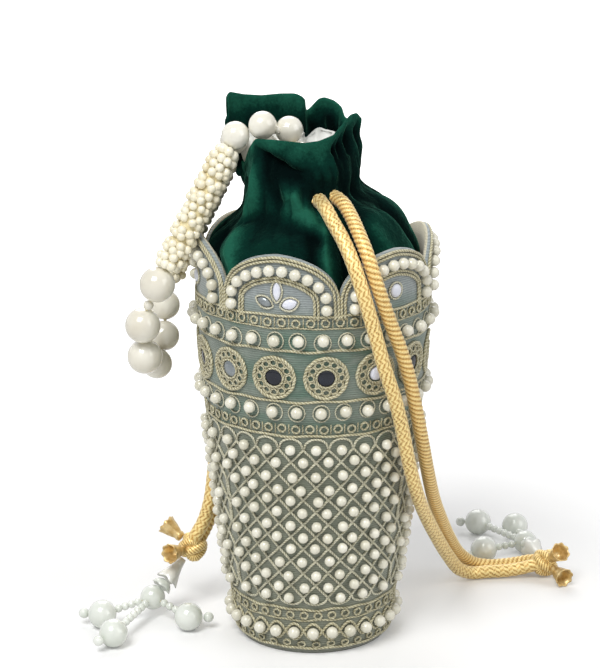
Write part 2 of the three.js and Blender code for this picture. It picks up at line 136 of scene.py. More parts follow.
# Faces of several tubes at once from their rings, (tubes, rings, sides, 3): ring point (i, j) joins (i, j +
# 1) around and (i + 1, j) along, and an open end closes in a fan to its pole. UV is (j / sides, length
# along the ring centres).
def tubeArrays(rings, poles=None, looped=False):
    count, ringCount, sides = rings.shape[:3]
    centres = rings.mean(axis=2)
    index = np.arange(count * ringCount * sides).reshape(count, ringCount, sides)
    index = np.concatenate([index, index[:, :, :1]], axis=2)
    if looped:
        centres, index = (np.concatenate([grid, grid[:, :1]], axis=1) for grid in (centres, index))
    steps = np.linalg.norm(np.diff(centres, axis=1), axis=-1)
    along = np.concatenate([np.zeros((count, 1)), np.cumsum(steps, axis=1)], axis=1)
    uv = np.stack(np.broadcast_arrays(np.arange(sides + 1) / sides, along[:, :, None]), axis=-1)
    quads, quadUvs = (
        np.stack([grid[:, :-1, :-1], grid[:, :-1, 1:], grid[:, 1:, 1:], grid[:, 1:, :-1]], axis=3)
        for grid in (index, uv)
    )
    points = rings.reshape(-1, 3)
    triangles, triangleUvs = np.zeros((0, 3), dtype=np.int64), np.zeros((0, 3, 2))
    if not looped:
        startPole = np.broadcast_to(len(points) + np.arange(count)[:, None], (count, sides))
        points = np.concatenate([points, *(poles or (centres[:, 0], centres[:, -1]))])
        triangles = np.concatenate([
            np.stack([index[:, 0, 1:], index[:, 0, :-1], startPole], axis=2).reshape(-1, 3),
            np.stack([index[:, -1, :-1], index[:, -1, 1:], startPole + count], axis=2).reshape(-1, 3),
        ])
        triangleUvs = np.concatenate([
            np.stack([uv[:, 0, 1:], uv[:, 0, :-1], uv[:, 0, :-1]], axis=2).reshape(-1, 3, 2),
            np.stack([uv[:, -1, :-1], uv[:, -1, 1:], uv[:, -1, :-1]], axis=2).reshape(-1, 3, 2),
        ])
    return points, quads.reshape(-1, 4), triangles, quadUvs.reshape(-1, 4, 2), triangleUvs


# Rings about a line: its place + reach (cos t across + sin t beside) for each turn t
def ringsAbout(line, reach, turn, across, beside):
    return line[..., None, :] + np.asarray(reach)[..., None] * (
        np.cos(turn)[:, None] * across[..., None, :] + np.sin(turn)[:, None] * beside[..., None, :]
    )


# Two directions square to each axis and to each other
def sidesOf(axes, hint):
    across = unit(np.cross(axes, hint))
    return across, np.cross(axes, across)


# Balls about the centres: ring i at polar angle pi (i + 1) / (down + 1), side j at 2 pi j / around, about
# the axes
def ballArrays(centres, radii, around=10, down=6, axes=(0, 0, 1), flatten=1.0):
    centres = np.asarray(centres, dtype=np.float64).reshape(-1, 3)
    radii = np.broadcast_to(radii, (len(centres),))[:, None]
    axes = unit(np.broadcast_to(np.asarray(axes, dtype=np.float64), centres.shape))
    across, beside = sidesOf(axes, (0.36, 0.48, 0.8))
    polar = math.pi * (np.arange(down) + 1) / (down + 1)
    reach = flatten * radii * axes
    line = centres[:, None] + np.cos(polar)[:, None] * reach[:, None]
    wide = (radii * np.sin(polar))[..., None]
    rings = ringsAbout(line, wide, evenAngles(around), across[:, None], beside[:, None])
    return tubeArrays(rings, (centres + reach, centres - reach))


# A smooth line through the points: centripetal Catmull-Rom, sampled evenly by length
def smoothLine(points, count):
    points = np.asarray(points, dtype=np.float64)
    padded = np.concatenate([2 * points[:1] - points[1:2], points, 2 * points[-1:] - points[-2:-1]])
    knots = np.concatenate([[0], np.cumsum(np.linalg.norm(np.diff(padded, axis=0), axis=1) ** 0.5)])
    segment = np.repeat(np.arange(1, len(padded) - 2), 24)
    share = np.tile(np.arange(24) / 24, len(padded) - 3)
    t0, t1, t2, t3 = (knots[segment + k] for k in (-1, 0, 1, 2))
    p0, p1, p2, p3 = (padded[segment + k] for k in (-1, 0, 1, 2))
    t = t1 + share * (t2 - t1)

    def between(low, high, start, end):
        return low + ((t - start) / (end - start))[:, None] * (high - low)

    a1, a2, a3 = between(p0, p1, t0, t1), between(p1, p2, t1, t2), between(p2, p3, t2, t3)
    fine = between(between(a1, a2, t0, t2), between(a2, a3, t1, t3), t1, t2)
    fine = np.concatenate([fine, padded[-2:-1]])
    reach = reachAlong(fine)
    wanted = np.linspace(0, reach[-1], count)
    return np.stack([np.interp(wanted, reach, fine[:, k]) for k in range(3)], axis=1)


# Two directions square to the line at each point, carried along it with no twist of their own
def carriedFrames(line):
    tangents = unit(np.gradient(line, axis=0))
    across = np.zeros_like(line)
    current = np.array([0.0, 0.0, 1.0]) if abs(tangents[0, 2]) < 0.9 else np.array([1.0, 0.0, 0.0])
    for step, tangent in enumerate(tangents):
        current = unit(current - tangent * np.dot(current, tangent))
        across[step] = current
    return across, np.cross(tangents, across)


def plainTube(line, radius, sides=8):
    return tubeArrays(ringsAbout(line, radius, evenAngles(sides), *carriedFrames(line))[None])


def alongLine(start, end, distance):
    return start + distance * unit(end - start)


print("mesh helpers ready")


# Finishes

# A number is a plain level of grey. Three numbers are an 8-bit screen colour, each part brought to the
# scene's light by ((c + 0.055) / 1.055) ^ 2.4.
def sceneColour(colour):
    if isinstance(colour, (int, float)):
        return (colour, colour, colour, 1.0)
    parts = np.array(colour) / 255
    linear = np.where(parts <= 0.04045, parts / 12.92, ((parts + 0.055) / 1.055) ** 2.4)
    return (*linear.tolist(), 1.0)


# A node and its inputs: another node's output is linked, and anything else is set
def addNode(tree, kind, inputs, **settings):
    node = tree.nodes.new("ShaderNode" + kind)
    for label, value in settings.items():
        setattr(node, label, value)
    for socket, value in inputs.items():
        if isinstance(value, bpy.types.NodeSocket):
            tree.links.new(value, node.inputs[socket])
        else:
            node.inputs[socket].default_value = value
    return node


def newFinish(name, colour, roughness, **fixed):
    finish = bpy.data.materials.new(name)
    finish.use_nodes = True
    tree = finish.node_tree
    shader = tree.nodes["Principled BSDF"]
    for socket, value in {"Base_Color": sceneColour(colour), "Roughness": roughness, **fixed}.items():
        shader.inputs[socket.replace("_", " ")].default_value = value
    place = addNode(tree, "TexCoord", {}).outputs["Object"]
    return finish, tree, shader, place


def mathNode(tree, operation, *values):
    return addNode(tree, "Math", dict(enumerate(values)), operation=operation).outputs[0]


def plus(tree, first, second):
    return mathNode(tree, "ADD", first, second)


def times(tree, first, second):
    return mathNode(tree, "MULTIPLY", first, second)


def colourRamp(tree, factor, stops):
    ramp = addNode(tree, "ValToRGB", {"Fac": factor})
    elements = ramp.color_ramp.elements
    while len(elements) < len(stops):
        elements.new(0.5)
    for element, (place, colour) in zip(elements, stops):
        element.position = place
        element.color = sceneColour(colour)
    return ramp.outputs["Color"]


def noiseNode(tree, vector, scale, detail=2.0, roughness=0.5):
    inputs = {"Vector": vector, "Scale": scale, "Detail": detail, "Roughness": roughness}
    return addNode(tree, "TexNoise", inputs).outputs["Fac"]


def mixColours(tree, factor, first, second, kind="MIX"):
    inputs = {0: factor, 6: first, 7: second}
    return addNode(tree, "Mix", inputs, data_type="RGBA", blend_type=kind).outputs[2]


def paintBy(tree, shader, factor, *stops):
    tree.links.new(colourRamp(tree, factor, stops), shader.inputs["Base Color"])


def bumpFrom(tree, shader, height, strength, distance=0.0002):
    bump = addNode(tree, "Bump", {"Strength": strength, "Distance": distance, "Height": height})
    tree.links.new(bump.outputs["Normal"], shader.inputs["Normal"])


# Silk: fine level weft lines, drifting patches of teal, and a greyer ground under the lattice
def silkFinish():
    finish, tree, shader, place = newFinish("greySilk", (120, 132, 128), 0.62, Sheen_Weight=0.35)
    height = addNode(tree, "SeparateXYZ", {0: place}).outputs["Z"]
    stretched = addNode(tree, "Mapping", {"Vector": place, "Scale": (1, 1, 2.6)}).outputs[0]
    levels = times(tree, height, 1000 / 160)  # 1 at a height of 160 mm
    ground = colourRamp(tree, levels, (
        (0.0, (132, 136, 120)), (0.5, (122, 128, 112)), (0.56, (124, 134, 122)),
        (0.78, (126, 138, 128)), (0.83, (150, 158, 158)), (1.0, (154, 164, 166)),
    ))
    teal = colourRamp(tree, noiseNode(tree, stretched, 34.0, 3.0, 0.6), ((0.47, 0), (0.66, 1)))
    bandOnly = colourRamp(tree, levels, ((0.48, 0), (0.56, 0.8), (0.78, 0.8), (0.84, 0.1)))
    tinted = mixColours(tree, times(tree, teal, bandOnly), ground, sceneColour((66, 106, 88)))
    wavering = plus(tree, height, times(tree, noiseNode(tree, place, 160.0), 0.0006))
    weft = mathNode(tree, "SINE", times(tree, wavering, 7600))
    grain = noiseNode(tree, place, 900.0)
    shade = plus(tree, plus(tree, times(tree, weft, 0.17), 0.9),
                 times(tree, mathNode(tree, "SUBTRACT", grain, 0.5), 0.35))
    tree.links.new(mixColours(tree, 1.0, tinted, shade, "MULTIPLY"), shader.inputs["Base Color"])
    bumpFrom(tree, shader, plus(tree, weft, grain), 0.35)
    return finish


# A cotton backing: warm beige with a fine square weave, sin x + sin z
def backingFinish():
    finish, tree, shader, place = newFinish("beigeBacking", (206, 200, 176), 0.85, Sheen_Weight=0.2)
    split = addNode(tree, "SeparateXYZ", {0: place})
    rows, columns = (mathNode(tree, "SINE", times(tree, split.outputs[axis], 9000)) for axis in "ZX")
    paintBy(tree, shader, noiseNode(tree, place, 60.0, 3.0), (0.3, (192, 184, 158)), (0.7, (216, 210, 188)))
    bumpFrom(tree, shader, plus(tree, rows, columns), 0.3)
    return finish


# A twisted thread: bands of painted light and painted shade that climb round it on the bump's ridges and
# grooves, sin(tau (2 u + v / pitch)) on its own UV map
def threadFinish(name, light, dark, pitch, roughness, metallic):
    finish, tree, shader, place = newFinish(name, light, roughness, Metallic=metallic, Sheen_Weight=0.15)
    split = addNode(tree, "SeparateXYZ", {0: place.node.outputs["UV"]})
    climb = plus(tree, times(tree, split.outputs["X"], 2),
                 mathNode(tree, "DIVIDE", split.outputs["Y"], pitch))
    wave = mathNode(tree, "SINE", times(tree, climb, tau))
    level = plus(tree, times(tree, wave, 0.32), noiseNode(tree, place, 420.0))
    # Painted shade in the twist's grooves, painted light on its ridges
    paintBy(tree, shader, level, (0.2, dark), (0.75, light))
    bumpFrom(tree, shader, wave, 0.6)
    return finish


# Pearl: a smooth gloss coat over a body colour that drifts from pearl to pearl towards a deeper one
def pearlFinish(name, body, deeper, roughness, coat):
    finish, tree, shader, place = newFinish(name, body, roughness, Coat_Weight=coat, Coat_Roughness=0.08,
                                            Specular_IOR_Level=0.55)
    paintBy(tree, shader, noiseNode(tree, place, 90.0, 1.0), (0.3, body), (0.85, deeper))
    return finish


# A hard or plain surface: one colour that drifts to the other, with a slight grain
def glossFinish(name, colour, other, roughness, grainScale, **fixed):
    finish, tree, shader, place = newFinish(name, colour, roughness, **fixed)
    drift = noiseNode(tree, place, grainScale, 3.0)
    paintBy(tree, shader, drift, (0.35, colour), (0.7, other))
    bumpFrom(tree, shader, drift, 0.08)
    return finish


# The mesh's crest value, which the velvet and cord finishes paint as shade in hollows and light on crests
def paintedCrestShade(tree):
    return addNode(tree, "Attribute", {}, attribute_name="crest").outputs["Fac"]


# Velvet: a dark pile with brushed patches, with painted shade in the folds and painted light on their crests
# by the mesh's crest value
def velvetFinish():
    finish, tree, shader, place = newFinish(
        "emeraldVelvet", (6, 54, 38), 0.95, Sheen_Weight=0.36, Sheen_Roughness=0.35,
        Sheen_Tint=sceneColour((96, 180, 150)), Specular_IOR_Level=0.02)
    brushed = noiseNode(tree, place, 60.0, 5.0, 0.7)
    pile = noiseNode(tree, place, 1100.0, 2.0, 0.7)
    crushed = noiseNode(tree, place, 170.0, 3.0, 0.6)
    level = plus(tree, times(tree, brushed, 0.74), times(tree, pile, 0.26))
    level = plus(tree, level, times(tree, paintedCrestShade(tree), 0.6))
    # Painted shade to painted light: the darkest stops fall in the folds, the lightest on the crests
    paintBy(tree, shader, level, (0.2, (3, 13, 13)), (0.42, (6, 28, 25)), (0.64, (9, 45, 37)),
            (0.94, (32, 90, 72)))
    bumpFrom(tree, shader, plus(tree, times(tree, crushed, 4.0), pile), 0.6, 0.0004)
    return finish


# Satin: off-white with slack creases, with painted shade where the crease bump dips
def satinFinish():
    finish, tree, shader, place = newFinish("whiteSatin", (236, 236, 230), 0.42, Sheen_Weight=0.3)
    creases = noiseNode(tree, place, 90.0, 3.0)
    paintBy(tree, shader, creases, (0.3, (222, 224, 216)), (0.7, (244, 244, 240)))
    bumpFrom(tree, shader, creases, 0.3, 0.0008)
    return finish


# Cord: painted shade in its furrows and a painted highlight on its crests, by the mesh's crest value, with
# fine filaments
def cordFinish():
    finish, tree, shader, place = newFinish("goldCord", (218, 178, 104), 0.42, Metallic=0.35,
                                            Sheen_Weight=0.3)
    filaments = noiseNode(tree, place, 1400.0, 2.0, 0.7)
    level = plus(tree, paintedCrestShade(tree), times(tree, mathNode(tree, "SUBTRACT", filaments, 0.5), 0.5))
    # Painted shade in the furrows, painted highlight on the crests
    paintBy(tree, shader, level, (0.12, (112, 74, 26)), (0.5, (208, 162, 84)), (0.92, (255, 232, 162)))
    bumpFrom(tree, shader, filaments, 0.35)
    return finish


silk = silkFinish()
backing = backingFinish()
velvet = velvetFinish()
satin = satinFinish()
goldCord = cordFinish()
# Thread colours: the first is painted light on the twist's ridges, the second painted shade in its grooves
zari = threadFinish("zariThread", (212, 207, 176), (160, 152, 116), 1.3, 0.42, 0.1)
paleZari = threadFinish("paleThread", (228, 225, 202), (176, 172, 142), 1.1, 0.5, 0.0)
sewingPearl = pearlFinish("sewingPearl", (236, 233, 217), (206, 202, 180), 0.2, 0.7)
ropePearl = pearlFinish("ropePearl", (250, 245, 224), (228, 216, 180), 0.2, 0.7)
loopPearl = pearlFinish("loopPearl", (238, 235, 222), (208, 200, 180), 0.14, 0.8)
coolPearl = pearlFinish("coolPearl", (238, 241, 234), (206, 212, 200), 0.14, 0.8)
lilyWhite = pearlFinish("lilyWhite", (240, 240, 234), (220, 220, 210), 0.25, 0.6)
darkMirror = glossFinish("darkMirror", (14, 18, 30), (24, 30, 44), 0.05, 300.0)
greyMirror = glossFinish("greyMirror", (120, 128, 132), (150, 156, 158), 0.12, 300.0, Metallic=0.4)
paleStone = glossFinish("paleStone", (232, 234, 244), (214, 218, 232), 0.1, 400.0, Coat_Weight=0.8)
goldMetal = glossFinish("goldMetal", (224, 200, 146), (186, 152, 90), 0.36, 500.0, Metallic=0.55)
coreThread = glossFinish("coreThread", (240, 230, 192), (224, 210, 164), 0.7, 500.0)
print("finishes made")


# Shell

shellSizes = {
    "heights": (0.0, 1.4, 4.0, 86.0, 100.0, 122.0, 150.0),
    "radii": (26.5, 27.6, 28.0, 38.0, 39.6, 41.0, 41.0),
    "wall": 2.0,
    "notch": 133.5,
    "petalDepth": 15.5,
    "archHalf": 23.67,
    "archLevel": 145.0,  # where the arch's width is measured
    "petals": 6,
    "columnsPerPetal": 36,
    "outerRows": 56,
    "innerRows": 30,
    "ridge": 0.45,  # how far the rounded edge stands up
}
petalStep = tau / shellSizes["petals"]
petalCentres = evenAngles(shellSizes["petals"], petalStep / 2)


# Radius at a height, from the profile smoothed over 3 mm either side
def shellRadius(height):
    spread = np.array([-3.0, -1.5, 0.0, 1.5, 3.0])
    height = np.asarray(height)[..., None]
    samples = height + spread * np.minimum(1, height / 6)
    return np.interp(samples, shellSizes["heights"], shellSizes["radii"]).mean(axis=-1)


# The place (R sin a, -R cos a, z) on the shell raised by lift along its normal, with the normal
def shellPlace(angle, height, lift=0.0):
    angle, height = np.broadcast_arrays(np.asarray(angle, float), np.asarray(height, float))
    slope = (shellRadius(height + 1) - shellRadius(height - 1)) / 2
    normal = unit(np.stack([np.sin(angle), -np.cos(angle), -slope], axis=-1))
    radius = shellRadius(height)
    place = np.stack([radius * np.sin(angle), -radius * np.cos(angle), height], axis=-1)
    return place + lift * normal, normal


# Height of the scalloped edge: notch + depth sqrt(1 - (1 - x / half)^2), x being the distance from the
# notch
def petalEdge(angle):
    away = np.abs((angle + petalStep / 2) % petalStep - petalStep / 2)
    share = 1 - shellRadius(shellSizes["archLevel"]) * np.sin(away) / shellSizes["archHalf"]
    return shellSizes["notch"] + shellSizes["petalDepth"] * np.sqrt(np.maximum(0, 1 - share ** 2))


# Rows up the outside, over the rounded edge and down the inside, with columns closer together at the
# notches
def makeShell():
    columns = shellSizes["columnsPerPetal"]
    inPetal = petalStep / 2 * np.sin(math.pi / 2 * (2 * np.arange(columns) / columns - 1))
    angle = (petalCentres[:, None] + inPetal).ravel()
    top = petalEdge(angle)
    outer = shellPlace(angle, np.linspace(0, 1, shellSizes["outerRows"])[:, None] ** 0.95 * top)[0]
    innerHeight = np.linspace(1, 0, shellSizes["innerRows"])[:, None] * top
    inner = shellPlace(angle, innerHeight, -shellSizes["wall"])[0]
    inner[..., 2] = innerHeight
    ridge = (outer[-1] + inner[0]) / 2
    ridge[:, 2] = top + shellSizes["ridge"]
    rings = np.concatenate([outer, ridge[None], inner])[None]
    shell = makePiece("embroidered_shell", [tubeArrays(rings, looped=True)], [silk, backing],
                      nodes=["shell_wall"])
    rows = np.arange(rings.shape[1]).repeat(len(angle))
    shell.data.polygons.foreach_set("material_index", (rows >= len(outer)).astype(np.int32))
    shell.data.update()


makeShell()
print("shell made")


# Embroidery on the shell

# Round threads that lie on the shell along (angle, height) lines, one row of the arrays for each thread
def threadArrays(angles, heights, lift, radius, sides=5, looped=False):
    line, normal = shellPlace(angles, heights, lift)
    if looped:
        tangent = unit(np.roll(line, -1, axis=1) - np.roll(line, 1, axis=1))
    else:
        tangent = unit(np.gradient(line, axis=1))
    beside = unit(np.cross(tangent, normal))
    turn = evenAngles(sides, math.pi / sides)
    return tubeArrays(ringsAbout(line, radius, turn, beside, np.cross(beside, tangent)), looped=looped)


# Small rings of thread: circles (x, z) = (r cos t, r sin t) about places on the shell, with x along the arc
def ringArrays(angles, heights, reach, lift, radius, steps=10, sides=4, squeeze=1.0, ripple=0.0, lobes=12):
    turn = evenAngles(steps)
    wide = reach * (1 + ripple * np.cos(lobes * turn))
    heights = np.broadcast_to(heights, angles.shape)[:, None] + wide * squeeze * np.sin(turn)
    angles = angles[:, None] + wide * np.cos(turn) / shellRadius(heights)
    return threadArrays(angles, heights, lift, radius, sides, looped=True)


# A small uneven step for each value, so that hand work isn't quite regular
def waver(values, seed, size):
    return size * (np.sin(values * 2.3 + seed) + np.sin(values * 5.1 + 2.7 * seed)) / 2


# A row of rings round the shell at a height
def ringRow(count, height, seed, size, reach, lift, radius, squeeze=1.0):
    angles = evenAngles(count)
    return ringArrays(angles, height + waver(angles * 9, seed, size), reach, lift, radius, squeeze=squeeze)


# Pearls sewn on the shell, sunk a fifth of their radius
def sewnPearls(angles, heights, radius):
    place, normal = shellPlace(angles, heights, radius * 0.82)
    return ballArrays(place, radius, axes=normal.reshape(-1, 3))


petalPlan = {
    "foot": 127.0,
    "level": 140.0,  # where the petal's arc is measured
    "cordInsets": (0.5, 1.75, 7.4, 8.6),
    "cordRadius": 0.52,
    "pearlInset": 4.7,
    "pearlFoot": 128.5,
    "pearlRadius": 2.05,
    "pearlPitch": 4.45,
    "samples": 90,
    # Name, finish, distance across, height, reach, width and tilt in degrees
    "leaves": (
        ("petal_tall_leaves", paleStone, 0.0, 136.6, 3.5, 1.5, 90.0),
        ("petal_grey_leaves", greyMirror, -4.4, 132.6, 2.9, 1.6, -24.0),
        ("petal_white_leaves", paleStone, 4.4, 132.4, 2.9, 1.9, 18.0),
    ),
    "round": {"height": 134.6, "stone": 2.4, "ring": 2.9},
}


# The outline of a pointed leaf on the shell: (reach cos t, width sin t |sin t|^0.5) turned by the tilt in
# degrees
def leafPoints(angles, height, reach, width, tilt, steps):
    turn = evenAngles(steps)
    along, across = reach * np.cos(turn), width * np.sin(turn) * np.abs(np.sin(turn)) ** 0.5
    cosine, sine = math.cos(math.radians(tilt)), math.sin(math.radians(tilt))
    heights = height + along * sine + across * cosine
    return angles[:, None] + (along * cosine - across * sine) / shellRadius(height), heights


# Leaf-shaped stones: rings that shrink from the outline towards a ridge above it
def leafStones(angles, height, reach, width, tilt):
    rings = [shellPlace(*leafPoints(angles, height, reach * share, width * share, tilt, 20), lift)[0]
             for share, lift in ((0.9, -0.3), (1.0, 0.1), (0.82, 0.6), (0.4, 1.0))]
    return tubeArrays(np.stack(rings, axis=1))


# A flat line sampled evenly by length, with its length
def evenly(x, z, count):
    reach = reachAlong(np.column_stack([x, z]))
    wanted = np.linspace(0, reach[-1], count)
    return np.interp(wanted, reach, x), np.interp(wanted, reach, z), reach[-1]


# A petal's edge moved inwards: points (x, z) of the half ellipse and its straight sides, less inset times
# the normal
def insetOutline(inset, foot):
    radius = shellRadius(petalPlan["level"])
    half = radius * petalStep / 2
    angle = np.linspace(-petalStep / 2, petalStep / 2, 241)
    x = np.concatenate([[-half, -half], angle * radius, [half, half]])
    z = np.concatenate([[foot, foot + 3], petalEdge(angle + petalStep / 2), [foot + 3, foot]])
    x, z, length = evenly(x, z, 401)
    kernel = np.ones(17) / 17
    x, z = (np.concatenate([line[:8], np.convolve(line, kernel, "valid"), line[-8:]]) for line in (x, z))
    alongX, alongZ = np.gradient(x), np.gradient(z)
    size = np.hypot(alongX, alongZ)
    x, z = x + inset * alongZ / size, z - inset * alongX / size
    keep = (np.abs(x) <= half - inset * 0.98 + 0.02) & (z >= foot)
    return evenly(x[keep], z[keep], petalPlan["samples"])


def makePetals():
    plan = petalPlan
    arcRadius = shellRadius(plan["level"])
    cords = []
    for number, inset in enumerate(plan["cordInsets"]):
        x, z, length = insetOutline(inset, plan["foot"])
        x = x + waver(np.linspace(0, 20, len(x)), number, 0.12)
        cords.append(threadArrays(petalCentres[:, None] + x / arcRadius, z, 0.45, plan["cordRadius"], 6))
    makePiece("petal_cords", cords, zari)
    x, z, length = insetOutline(plan["pearlInset"], plan["pearlFoot"])
    count = int(round(length / plan["pearlPitch"]))
    share = (np.arange(count) + 0.5) / count * (len(x) - 1)
    x, z = (np.interp(share, np.arange(len(line)), line) for line in (x, z))
    pearls = sewnPearls(petalCentres[:, None] + x / arcRadius, z, plan["pearlRadius"])
    makePiece("petal_pearls", [pearls], sewingPearl)
    outlines = []
    for name, finish, across, height, reach, width, tilt in plan["leaves"]:
        places = petalCentres[1::2] + across / shellRadius(height)
        outline = leafPoints(places, height, reach + 0.5, width + 0.45, tilt, 28)
        outlines.append(threadArrays(*outline, 0.4, 0.34, 5, looped=True))
        makePiece(name, [leafStones(places, height, reach, width, tilt)], finish)
    sizes, angles = plan["round"], petalCentres[0::2]
    centre, normal = shellPlace(angles, sizes["height"], 0.4)
    makePiece("petal_round_stones", [ballArrays(centre, sizes["stone"], 24, 7, normal, 0.45)], paleStone)
    outlines.append(ringArrays(angles, sizes["height"], sizes["ring"], 0.4, 0.36, 24, 5))
    makePiece("petal_leaf_threads", outlines, paleZari)


makePetals()

bandPlan = {
    # Height, seed, waver, thread radius and lift
    "girdles": (
        (128.2, 0.3, 0.25, 0.46, 0.35), (115.9, 1.2, 0.4, 0.46, 0.35), (97.6, 2.1, 0.4, 0.46, 0.35),
        (84.9, 3.0, 0.35, 0.46, 0.35), (123.9, 4.0, 0.3, 0.3, 0.2),
    ),
    # Count, height, seed, waver, ring size, lift and thread radius; then the bars between: low, high and
    # radius
    "chains": (
        ((52, 125.9, 1, 0.2, 1.3, 0.45, 0.45), (-1.6, 1.6, 0.3)),
        ((50, 87.6, 2, 0.3, 1.35, 0.45, 0.42), (-1.9, 1.5, 0.28)),
    ),
    # Name, height, count and seed
    "pearlRows": (("upper", 119.8, 32, 0.4), ("lower", 94.2, 30, 1.9)),
    "rowTurn": 3.0,
    "pearlRadius": 2.1,
    "rosette": {"height": 106.4, "count": 14, "start": -32.1},
    # Ring size, lift, thread radius, steps, sides, squeeze, ripple and lobes
    "rosetteRings": (
        (7.25, 0.5, 0.62, 48, 6, 1.0, 0.012, 12), (6.15, 0.3, 0.35, 36, 4, 1.0, 0.03, 12),
        (4.1, 0.3, 0.4, 30, 4, 1.0, 0.02, 9), (3.35, 0.75, 0.42, 30, 5, 1.0, 0.0, 12),
    ),
    "loops": {"count": 12, "ring": 5.35, "reach": 1.2, "lift": 0.5, "radius": 0.36},
    # Finish, radius and thickness; the rosettes that hold a grey mirror or a stone; the rest are dark
    # mirrors
    "middles": {
        "dark_mirrors": (darkMirror, 3.1, 0.16), "grey_mirrors": (greyMirror, 3.1, 0.2),
        "rosette_stones": (paleStone, 2.6, 0.55),
    },
    "greyPlaces": (6, 13),
    "stonePlaces": (2, 9),
}


# A thread right round the shell at a height, with a slight waver
def girdle(height, seed, size, radius, lift):
    angles = evenAngles(240)[None]
    heights = height + size * (np.sin(angles * 9 + seed) + np.sin(angles * 17 + 2 * seed)) / 2
    return threadArrays(angles, heights, lift, radius, 6, looped=True)


def makeBand():
    plan = bandPlan
    threads = [girdle(*values) for values in plan["girdles"]]
    threads += [ringRow(*ring) for ring, bar in plan["chains"]]
    for (count, height, *ring), (low, high, radius) in plan["chains"]:
        between = evenAngles(count)[:, None] + tau / (2 * count) + np.zeros(3)
        threads.append(threadArrays(between, height + np.linspace(low, high, 3), 0.15, radius, 4))
    halos = []
    for name, row, count, seed in plan["pearlRows"]:
        angles = evenAngles(count, math.radians(plan["rowTurn"]))
        halos.append(ringArrays(angles + waver(angles * 7, seed + 2, 0.5) / 40,
                                row - 0.7 + waver(angles * 11, seed, 0.5), 2.85, 0.3, 0.27, 16, 5, 1.08))
        pearls = sewnPearls(angles + waver(angles * 13, seed, 0.3) / 40, row + waver(angles * 5, seed, 0.4),
                            plan["pearlRadius"])
        makePiece("row_pearls_" + name, [pearls], sewingPearl)
    makePiece("band_threads", threads, zari)
    makePiece("row_halos", halos, paleZari)
    sizes, loops = plan["rosette"], plan["loops"]
    centres = evenAngles(sizes["count"], math.radians(sizes["start"]))
    heights = sizes["height"] + waver(centres * 6, 1.3, 0.5)
    rosettes = [ringArrays(centres, heights, *values) for values in plan["rosetteRings"]]
    turn = evenAngles(loops["count"])
    loopHeights = heights[:, None] + loops["ring"] * np.sin(turn)
    loopAngles = centres[:, None] + loops["ring"] * np.cos(turn) / shellRadius(sizes["height"])
    rosettes.append(ringArrays(loopAngles.ravel(), loopHeights.ravel(), loops["reach"], loops["lift"],
                               loops["radius"]))
    makePiece("rosette_threads", rosettes, zari)
    place, normal = shellPlace(centres, heights, 0.35)
    numbers = np.arange(sizes["count"])
    grey, stones = np.isin(numbers, plan["greyPlaces"]), np.isin(numbers, plan["stonePlaces"])
    groups = (~(grey | stones), grey, stones)
    for (name, (finish, radius, thick)), chosen in zip(plan["middles"].items(), groups):
        makePiece(name, [ballArrays(place[chosen], radius, 24, 5, normal[chosen], thick)], finish)


makeBand()
print("petals and band embroidered")

latticePlan = {
    "panels": 3, "panelTurn": -11.2, "seamGap": 0.012, "columnArc": 8.6, "rowStep": 4.75, "rows": 13,
    "topRow": 79.8, "pearlRadius": 1.9, "threadRadius": 0.42, "lift": 0.42, "topArch": 4.1, "lowArch": 2.8,
}


# A net of diamonds on three panels. Pearl (c, r) has c + r even and lies at arc c w / 2 and height top - r h.
# Four threads ring each pearl as a diamond, from (c +- 1, r) to (c, r +- 1), and are held at the seams.
def makeLattice():
    plan = latticePlan
    halfArc, rise, top = plan["columnArc"] / 2, plan["rowStep"], plan["topRow"]
    bottom = top - rise * (plan["rows"] - 1)
    seam = petalStep - plan["seamGap"]
    column, row = np.meshgrid(np.arange(-11, 12), np.arange(plan["rows"]))
    even = (column + row) % 2 == 0
    column, row = column[even], row[even]
    height = top - rise * row
    inPanel = np.abs(column * halfArc) <= seam * shellRadius(height) - plan["pearlRadius"]
    pearlArc, pearlHeight, pearlRow = column[inPanel] * halfArc, height[inPanel], row[inPanel]
    starts, ends = (np.concatenate(sets) for sets in zip(*(
        (np.stack([(column + side) * halfArc, height], -1),
         np.stack([column * halfArc, height + up * rise], -1))
        for side, up in ((1, 1), (1, -1), (-1, 1), (-1, -1))
    )))
    middle = (starts + ends) / 2
    keep = (ends[:, 1] < top + 0.1) & (ends[:, 1] > bottom - 0.1)
    keep &= np.abs(middle[:, 0]) <= seam * shellRadius(middle[:, 1]) + halfArc / 2
    pairs = np.unique(np.round(np.concatenate([starts[keep], ends[keep]], axis=1), 3), axis=0)
    share = np.linspace(0, 1, 5)
    arc, heights = (pairs[:, k, None] + share * (pairs[:, k + 2] - pairs[:, k])[:, None] for k in (0, 1))
    limit = seam * shellRadius(heights)
    arc = np.clip(arc, -limit, limit)
    across = np.linspace(-1, 1, 11)
    threads, pearls = [], []
    for panel in range(plan["panels"]):
        centre = math.radians(plan["panelTurn"]) + panel * tau / plan["panels"]
        lines = [(arc / shellRadius(heights), heights + waver(arc, panel, 0.12))]
        for wanted, base, reach in ((0, top, plan["topArch"]),
                                    (plan["rows"] - 1, bottom, -plan["lowArch"])):
            columns = column[row == wanted] * halfArc
            edge = seam * shellRadius(base)
            columns = columns[np.abs(columns) <= edge + 0.5]
            archArc = np.clip(columns[:, None] + across * halfArc, -edge, edge)
            archHeight = base + reach * np.sqrt(np.maximum(0, 1 - across ** 2))
            lines.append((archArc / shellRadius(base), archHeight))
        threads += [threadArrays(centre + angles, rows, plan["lift"], plan["threadRadius"])
                    for angles, rows in lines]
        pearls.append(sewnPearls(
            centre + (pearlArc + waver(pearlArc * 3 + pearlRow * 5, panel, 0.8)) / shellRadius(pearlHeight),
            pearlHeight + waver(pearlArc * 7 + pearlRow * 2, panel + 3, 0.8), plan["pearlRadius"]))
    makePiece("lattice_threads", threads, paleZari)
    makePiece("lattice_pearls", pearls, sewingPearl)


makeLattice()

